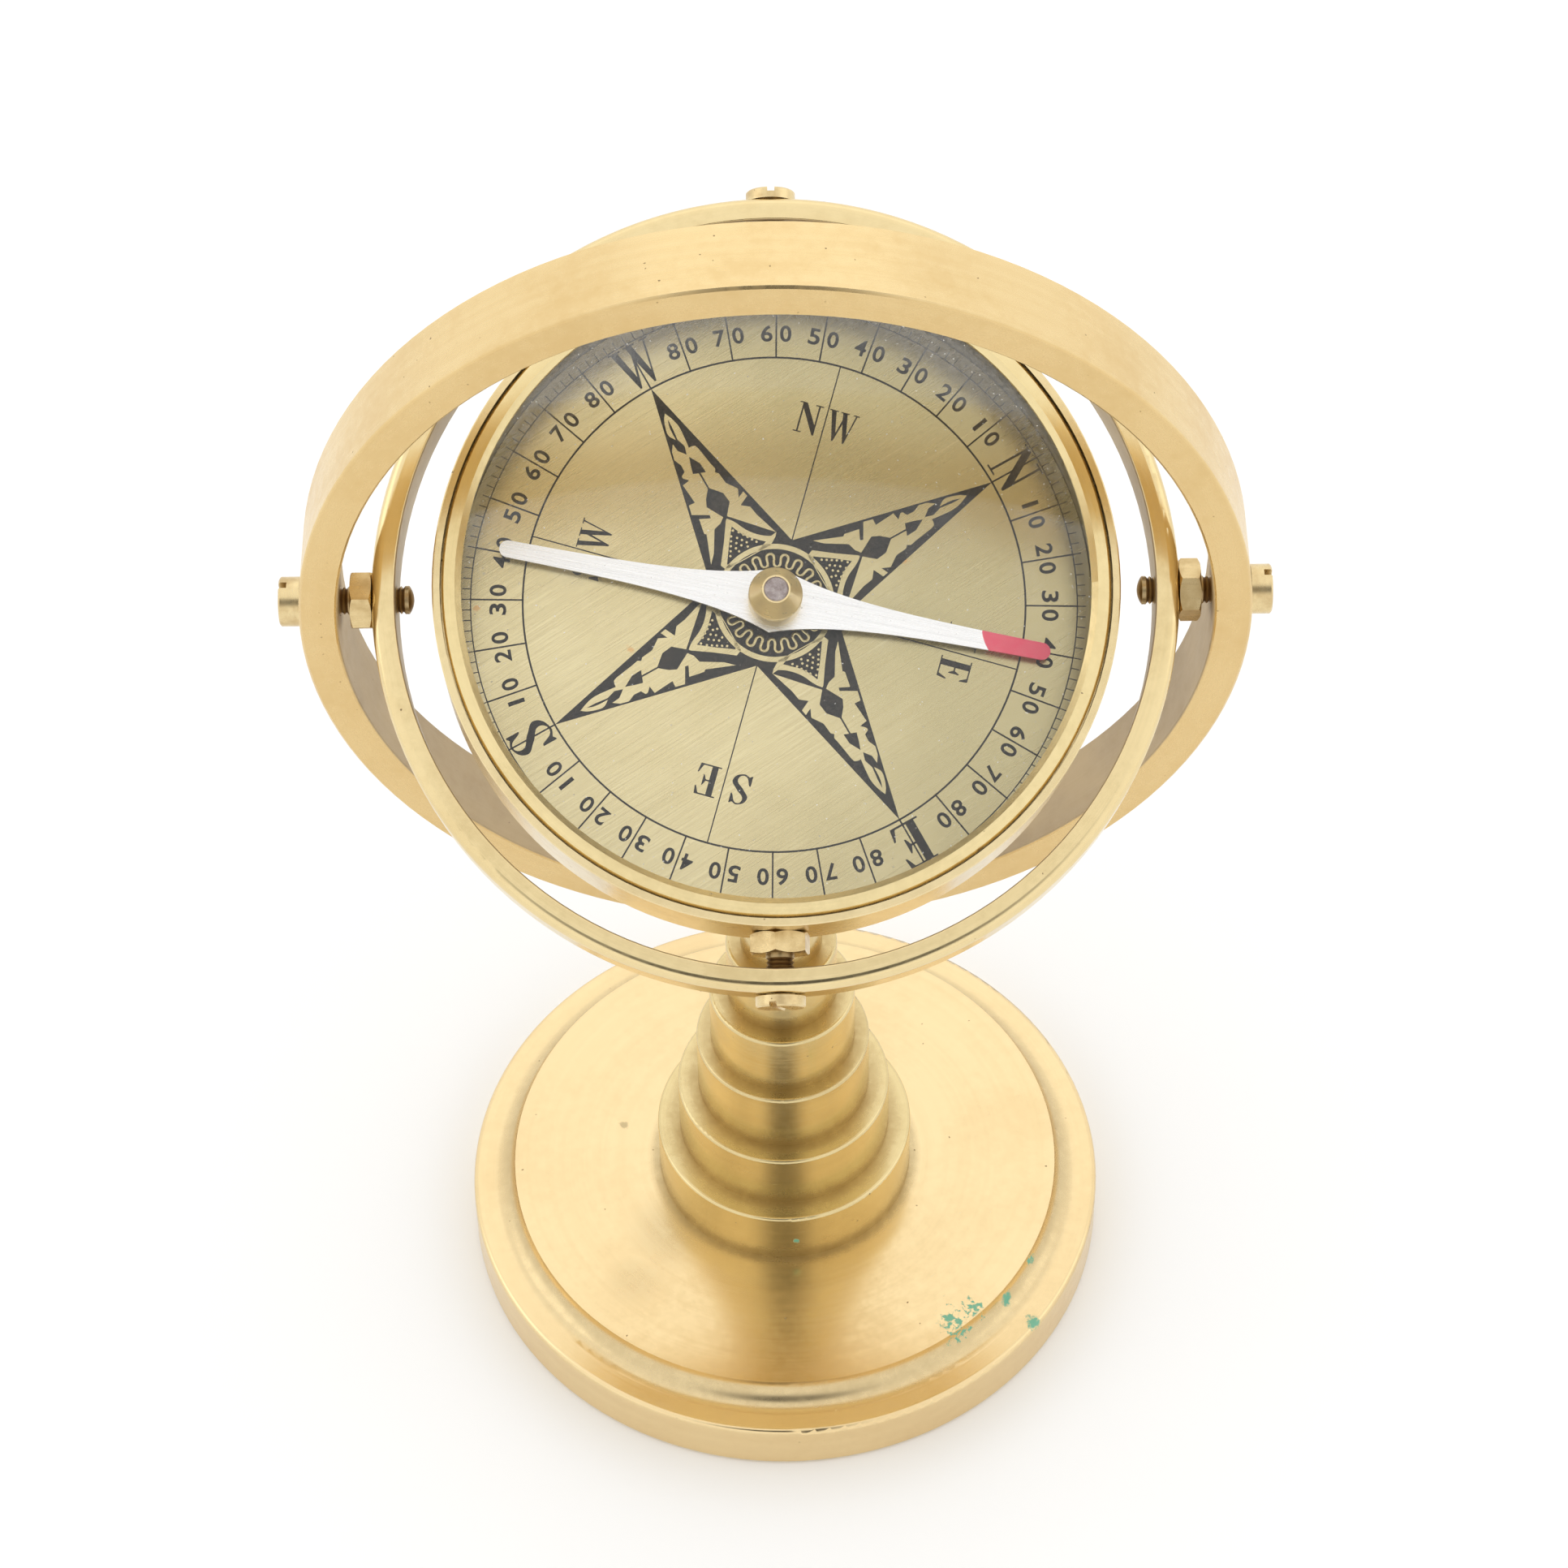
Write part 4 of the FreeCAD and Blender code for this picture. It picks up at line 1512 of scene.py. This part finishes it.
    def hub_wave(self) -> bpy.types.Object:
        """The brass line that winds round inside the hub ring.

        Returns:
            The piece.
        """
        deselect()
        curve = bpy.data.curves.new("star_hub_wave", "CURVE")
        curve.dimensions = "3D"
        curve.extrude = self.brass_thick / 2
        curve.resolution_u = 2
        count = self.wave_count * self.wave_steps
        spline = curve.splines.new("NURBS")
        spline.points.add(count - 1)
        for number, point in enumerate(spline.points):
            phase = 2 * math.pi * number / self.wave_steps
            radius = self.wave_middle + self.wave_swing * math.sin(phase)
            sway = self.wave_sway * math.sin(2 * phase)
            angle = phase / self.wave_count - sway
            point.co = (radius * math.cos(angle), radius * math.sin(angle), 0, 1)
        spline.use_cyclic_u = True
        spline.order_u = 3
        piece = bpy.data.objects.new("star_hub_wave", curve)
        bpy.context.scene.collection.objects.link(piece)
        only(piece)
        bpy.ops.object.convert(target="MESH")
        piece = named("star_hub_wave")
        settle(piece, Matrix.Translation((0, 0, self.brass_thick / 2)))
        tidy_mesh(piece)
        wall = piece.modifiers.new("line_width", "SOLIDIFY")
        wall.thickness = self.wave_width
        wall.offset = 0.0
        wall.use_even_offset = True
        only(piece)
        bpy.ops.object.modifier_apply(modifier=wall.name)
        return piece

    def build(self, black: bpy.types.Material, brass: bpy.types.Material) -> None:
        """Makes every piece and lays it on the dial.

        Args:
            black: the finish of the filled engraving.
            brass: the finish of the brass left standing.
        """
        place = self.spindle.plane(self.face - self.sunk)
        black_makers = (
            self.scale_lines, self.numbers, self.cardinal_letters, self.quarter_letters, self.star_ground,
        )
        brass_makers = (self.star_ornament, self.hub_ring, self.hub_wave)
        for finish, makers in ((black, black_makers), (brass, brass_makers)):
            for make in makers:
                piece = settle(make(), place)
                piece.data.materials.clear()
                piece.data.materials.append(finish)
                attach(piece, "compass_bowl")
                LOG.info("dial: %s, %d faces", piece.name, len(piece.data.polygons))


# --------------------------------------------------------------------------------------
# Sub-assemblies
# --------------------------------------------------------------------------------------


def dress(finish: bpy.types.Material, nodes: Iterable[str]) -> None:
    """Gives CAD nodes a finish in place of their plain one.

    Args:
        finish: the material.
        nodes: the nodes' names.
    """
    for name in nodes:
        node = frame["nodes"][name]
        for number in range(len(node.material_slots)):
            node.material_slots[number].material = finish
        LOG.info("%s: %s", name, finish.name)


@dataclass
class Stand:
    """The turned foot, its stepped column, the hidden bolt and the upright ring."""

    plateau_height: float = 10.7
    rim_height: float = 7.65
    plateau_radius: float = 36.3
    ring_bore: float = 50.6
    ring_half_width: float = 5.2
    column_radii: tuple[float, ...] = (16.8, 13.9, 11.25, 9.4, 7.1, 5.2)
    column_tops: tuple[float, ...] = (10.7, 19.3, 28.3, 38.2, 48.0, 57.9)
    step_grime: float = 2.6
    foot_grime: float = 1.8
    cove_grime: float = 3.4
    foot_verdigris: tuple[Stain, ...] = (
        Stain((21.8, -27.3, 9.4), 1.9, 4.5),
        Stain((24.4, -25.0, 9.8), 1.4, 4.5),
        Stain((29.0, -22.7, 9.0), 1.1),
        Stain((32.6, -25.6, 7.65), 1.2),
        Stain((31.9, -16.5, 9.3), 1.1),
        Stain((-28.8, -20.7, 9.2), 0.9),
    )
    foot_burns: tuple[Stain, ...] = (
        Stain((-21.8, 4.9, 10.7), 0.8),
        # painted shadow: these two soft, wide patches darken the plateau at the left front of the column's
        # foot
        Stain((-15.0, -12.0, 10.7), 8.0, 0.5, 0.45),
        Stain((-20.0, -20.0, 10.7), 5.0, 0.8, 0.25),
    )
    pillar_verdigris: tuple[Stain, ...] = (Stain((1.5, -16.8, 14.5), 0.55),)

    def ledges(self) -> tuple[Ledge, ...]:
        """The inside corners above each step of the column."""
        pairs = zip(self.column_radii, self.column_tops)
        return tuple(Ledge(radius, top, self.step_grime) for radius, top in pairs)

    def dress(self) -> None:
        """Gives the stand its finishes."""
        axis = upright_spindle()
        foot = BrassFinish(
            "foot_brass", axis, (0.84, 0.66, 0.37, 1.0), (0.72, 0.52, 0.26, 1.0), 0.20,
            pitch=0.3, mark_depth=0.0012, tarnish=0.35, speck_share=0.08,
            ledges=(
                Ledge(self.column_radii[0], self.plateau_height, self.foot_grime),
                Ledge(self.plateau_radius, self.rim_height, self.cove_grime),
            ),
            grime_colour=(0.38, 0.31, 0.17, 1.0),
            verdigris=self.foot_verdigris, burns=self.foot_burns,
        )
        pillar = BrassFinish(
            "pillar_brass", axis, (0.74, 0.605, 0.32, 1.0), (0.58, 0.44, 0.20, 1.0), 0.21,
            pitch=0.28, mark_depth=0.0022, tarnish=0.45, speck_share=0.10, ledges=self.ledges(),
            grime_strength=0.4, verdigris=self.pillar_verdigris,
        )
        outer = BrassFinish(
            "outer_ring_brass", hoop_spindle(), (0.82, 0.63, 0.33, 1.0), (0.68, 0.47, 0.20, 1.0), 0.27,
            pitch=0.26, mark_depth=0.0016, tarnish=0.55, speck_share=0.20, speck_size=0.3,
            bore_radius=self.ring_bore, dust_settles=True, side_face=self.ring_half_width,
        )
        iron = SteelFinish("bolt_steel_dull", axis, (0.45, 0.44, 0.43, 1.0), 0.45)
        dress(foot.build(), ["base"])
        dress(pillar.build(), ["column"])
        dress(outer.build(), ["outer_ring"])
        dress(iron.build(), ["base_bolt", "base_washer"])


@dataclass
class Gimbal:
    """The swinging ring with its pivot screws and nuts."""

    bore_radius: float = 44.0
    shank_radius: float = 1.65
    side_head_seat: float = 55.0
    end_head_seat: float = 46.8

    def screw_finish(self, name: str, spindle: Spindle, head_seat: float) -> BrassFinish:
        """The finish of a pair of pivot screws.

        Args:
            name: the finish's name.
            spindle: the axes of the pair, with its axis along the screws.
            head_seat: how far out their heads begin, in millimetres.

        Returns:
            The finish.
        """
        return BrassFinish(
            name, spindle, (0.80, 0.64, 0.35, 1.0), (0.46, 0.30, 0.13, 1.0), 0.27,
            cloud_size=2.5, tarnish=0.6, speck_share=0.25, speck_size=0.2,
            shank_radius=self.shank_radius, head_seat=head_seat,
        )

    def dress(self) -> None:
        """Gives the gimbal its finishes."""
        axis = gimbal_spindle()
        side = Spindle(axis.centre, axis.along, axis.axis, axis.across)
        ends = Spindle(axis.centre, axis.axis, axis.across, axis.along)
        ring = BrassFinish(
            "gimbal_ring_brass", axis, (0.83, 0.675, 0.375, 1.0), (0.68, 0.51, 0.24, 1.0), 0.19,
            pitch=0.3, mark_depth=0.0016, tarnish=0.45, speck_share=0.12, bore_radius=self.bore_radius,
        )
        side_screw = self.screw_finish("side_screw_brass", side, self.side_head_seat)
        end_screw = self.screw_finish("end_screw_brass", ends, self.end_head_seat)
        nut = BrassFinish(
            "pivot_nut_brass", axis, (0.76, 0.59, 0.31, 1.0), (0.42, 0.27, 0.10, 1.0), 0.28,
            grain=Grain.DRAWN, cloud_size=2.5, tarnish=0.7, speck_share=0.25, speck_size=0.2,
        )
        nuts = [name for name in frame["nodes"] if name.endswith("_nut")]
        dress(ring.build(), ["gimbal_ring"])
        dress(side_screw.build(), ["left_pivot_screw", "right_pivot_screw", "ring_screw"])
        dress(end_screw.build(), ["front_pivot_screw", "rear_pivot_screw"])
        dress(nut.build(), sorted(nuts))


@dataclass
class CompassBowl:
    """The bowl with its glass, bezel, dial and post."""

    bore_radius: float = 37.4
    seat: float = 4.1
    floor: float = -5.6
    dial_face: float = -4.8
    bezel_radius: float = 36.3
    shoulder_radius: float = 38.6
    shoulder_height: float = 6.6
    shoulder_grime: float = 0.5
    bezel_burns: tuple[Stain, ...] = (Stain((23.0, -31.2, 6.9), 0.7),)

    def dress(self) -> bpy.types.Material:
        """Gives the bowl its finishes.

        Returns:
            The dial's brass, which the engraving's standing parts share.
        """
        axis = bowl_spindle()
        cup = BrassFinish(
            "bowl_brass_satin", axis, (0.83, 0.68, 0.39, 1.0), (0.68, 0.52, 0.26, 1.0), 0.22,
            pitch=0.25, mark_depth=0.002, tarnish=0.40, speck_share=0.14,
        )
        bezel = BrassFinish(
            "bezel_brass_bright", axis, (0.85, 0.70, 0.38, 1.0), (0.70, 0.53, 0.25, 1.0), 0.18,
            pitch=0.2, mark_depth=0.0016, tarnish=0.35, speck_share=0.15, speck_size=0.26,
            ledges=(Ledge(self.shoulder_radius, self.shoulder_height, self.shoulder_grime),),
            burns=self.bezel_burns,
        )
        post = BrassFinish(
            "post_brass_satin", axis, (0.78, 0.57, 0.24, 1.0), (0.55, 0.36, 0.12, 1.0), 0.28,
            cloud_size=3.0, speck_size=0.2,
        )
        flecks = (
            Stain((15.4, 5.0, self.dial_face), 0.55),
            Stain((15.8, -2.3, self.dial_face), 0.45),
            Stain((-17.1, -5.4, self.dial_face), 0.5),
        )
        dial = DialFinish("dial_brass_brushed", axis, flecks=flecks).build()
        dress(BowlFinish(cup, self.bore_radius, self.seat, self.floor).build(), ["bowl_cup"])
        dress(bezel.build(), ["bezel_ring"])
        dress(post.build(), ["pivot_post", "cap_washer"])
        dress(dial, ["dial_plate"])
        dress(GlassFinish("cover_glass_dusty", axis, self.bezel_radius).build(), ["glass"])
        dress(RubberFinish("gasket_board", axis).build(), ["glass_gasket"])
        dress(SteelFinish("pin_steel_ground", axis, (0.6, 0.6, 0.62, 1.0), 0.2).build(), ["pivot_pin"])
        return dial


@dataclass
class Needle:
    """The needle with its cap and jewel."""

    heading: float = -11.5
    half_length: float = 32.8
    red_length: float = 7.9

    def dress(self) -> None:
        """Gives the needle its finishes."""
        axis = needle_spindle(self.heading)
        blade = NeedleFinish("needle_white_metal", axis, self.half_length - self.red_length)
        cap = BrassFinish(
            "cap_brass_polished", axis, (0.95, 0.77, 0.42, 1.0), (0.76, 0.56, 0.25, 1.0), 0.30,
            film=0.35, pitch=0.14, mark_depth=0.0012, cloud_size=2.5, tarnish=0.3,
            speck_share=0.10, speck_size=0.16,
        )
        dress(blade.build(), ["needle_blade"])
        dress(cap.build(), ["needle_cap"])
        dress(StoneFinish("jewel_grey_stone", axis).build(), ["needle_jewel"])


# --------------------------------------------------------------------------------------
# Studio
# --------------------------------------------------------------------------------------


@dataclass(frozen=True)
class SoftBox:
    """A soft light panel, in metres and watts."""

    name: str
    place: tuple[float, float, float]
    aim: tuple[float, float, float]
    width: float
    depth: float
    power: float

    def build(self) -> None:
        """Adds the panel."""
        lamp = bpy.data.lights.new(self.name, "AREA")
        lamp.shape = "RECTANGLE"
        lamp.size = self.width
        lamp.size_y = self.depth
        lamp.energy = self.power
        panel = bpy.data.objects.new(self.name, lamp)
        bpy.context.scene.collection.objects.link(panel)
        panel.location = self.place
        away = Vector(self.place) - Vector(self.aim)
        panel.rotation_euler = away.to_track_quat("Z", "Y").to_euler()


@dataclass(frozen=True)
class Studio:
    """The table, the bright surround with its darker patch, the light panels and the camera."""

    table_radius: float = 3.0
    table_sides: int = 64
    camera_target: tuple[float, float, float] = (0.00066, 0.0, 0.08869)
    camera_distance: float = 0.57548
    camera_elevation: float = 50.44
    camera_turn: float = 0.1415
    camera_roll: float = -0.87
    focal_length: float = 108.36
    sensor_width: float = 36.0
    surround: float = 1.12
    surround_colour: Colour = (1.0, 0.995, 0.985, 1.0)
    bright_side: tuple[float, float, float] = (0.0, 0.62, 0.785)
    bright_fade: tuple[float, float] = (0.55, 0.97)
    bright_share: float = 0.04
    dark_patch: tuple[float, float, float] = (0.0, -0.715, 0.699)
    dark_fade: tuple[float, float] = (0.93, 0.987)
    dark_share: float = 0.95

    def build(self) -> None:
        """Makes the whole studio."""
        self._table()
        self._surround()
        self._lights()
        self._camera()
        view = bpy.context.scene.view_settings
        view.view_transform = "Standard"
        view.look = "None"

    def _table(self) -> None:
        """A large round table top."""
        deselect()
        sides = self.table_sides
        bpy.ops.mesh.primitive_circle_add(vertices=sides, radius=self.table_radius, fill_type="NGON")
        table = named("table_top")
        bpy.ops.object.mode_set(mode="EDIT")
        bpy.ops.mesh.select_all(action="SELECT")
        bpy.ops.mesh.inset(thickness=self.table_radius * 0.5)
        bpy.ops.object.mode_set(mode="OBJECT")
        table.data.materials.append(FloorFinish("table_white").build())

    def _surround(self) -> None:
        """A bright world, brightest high behind and darker where the maker stands."""
        world = bpy.data.worlds.new("studio_surround")
        bpy.context.scene.world = world
        world.use_nodes = True
        shade = Shade(world.node_tree)
        direction = shade.node("ShaderNodeTexCoord", output="Generated")
        facing = shade.vector_math("DOT_PRODUCT", direction, self.dark_patch, output="Value")
        behind = shade.vector_math("DOT_PRODUCT", direction, self.bright_side, output="Value")
        glow = 1.0 + behind.rise(*self.bright_fade) * self.bright_share
        strength = (glow - facing.rise(*self.dark_fade) * self.dark_share) * self.surround
        sockets = {"Color": self.surround_colour, "Strength": strength}
        light = shade.node("ShaderNodeBackground", None, sockets)
        shade.node("ShaderNodeOutputWorld", None, {"Surface": light})

    def _lights(self) -> None:
        """The light panels."""
        centre = (0.0, 0.0, 0.09)
        panels = (
            SoftBox("rear_panel", (0.0, 1.1, 1.35), centre, 1.3, 0.8, 0.4),
            SoftBox("left_panel", (-1.3, 0.1, 0.9), centre, 0.9, 1.0, 1.2),
            SoftBox("right_panel", (1.3, 0.1, 0.9), centre, 0.9, 1.0, 0.8),
        )
        for panel in panels:
            panel.build()

    def _camera(self) -> None:
        """The camera in front of the compass, looking down at it."""
        lens = bpy.data.cameras.new("front_camera")
        lens.lens = self.focal_length
        lens.sensor_width = self.sensor_width
        lens.clip_start = 0.01
        lens.clip_end = 50.0
        camera = bpy.data.objects.new("front_camera", lens)
        bpy.context.scene.collection.objects.link(camera)
        rise = math.radians(self.camera_elevation)
        turn = Matrix.Rotation(math.radians(self.camera_turn), 3, "Z")
        away = turn @ Vector((0.0, -math.cos(rise), math.sin(rise)))
        facing = Euler((math.pi / 2 - rise, 0.0, 0.0)).to_matrix()
        roll = Matrix.Rotation(math.radians(self.camera_roll), 3, "Z")
        camera.matrix_world = (turn @ facing @ roll).to_4x4()
        camera.location = Vector(self.camera_target) + away * self.camera_distance
        bpy.context.scene.camera = camera


def main() -> None:
    """Builds and dresses every sub-assembly, then the studio."""
    logging.basicConfig(level=logging.INFO, format="%(name)s: %(message)s")
    Stand().dress()
    Gimbal().dress()
    bowl = CompassBowl()
    dial = bowl.dress()
    Needle().dress()
    black = EngravingFinish("engraving_black_wax", bowl_spindle()).build()
    DialEngraving(bowl_spindle(), bowl.dial_face).build(black, dial)
    Studio().build()


if __name__ == "__main__":
    main()
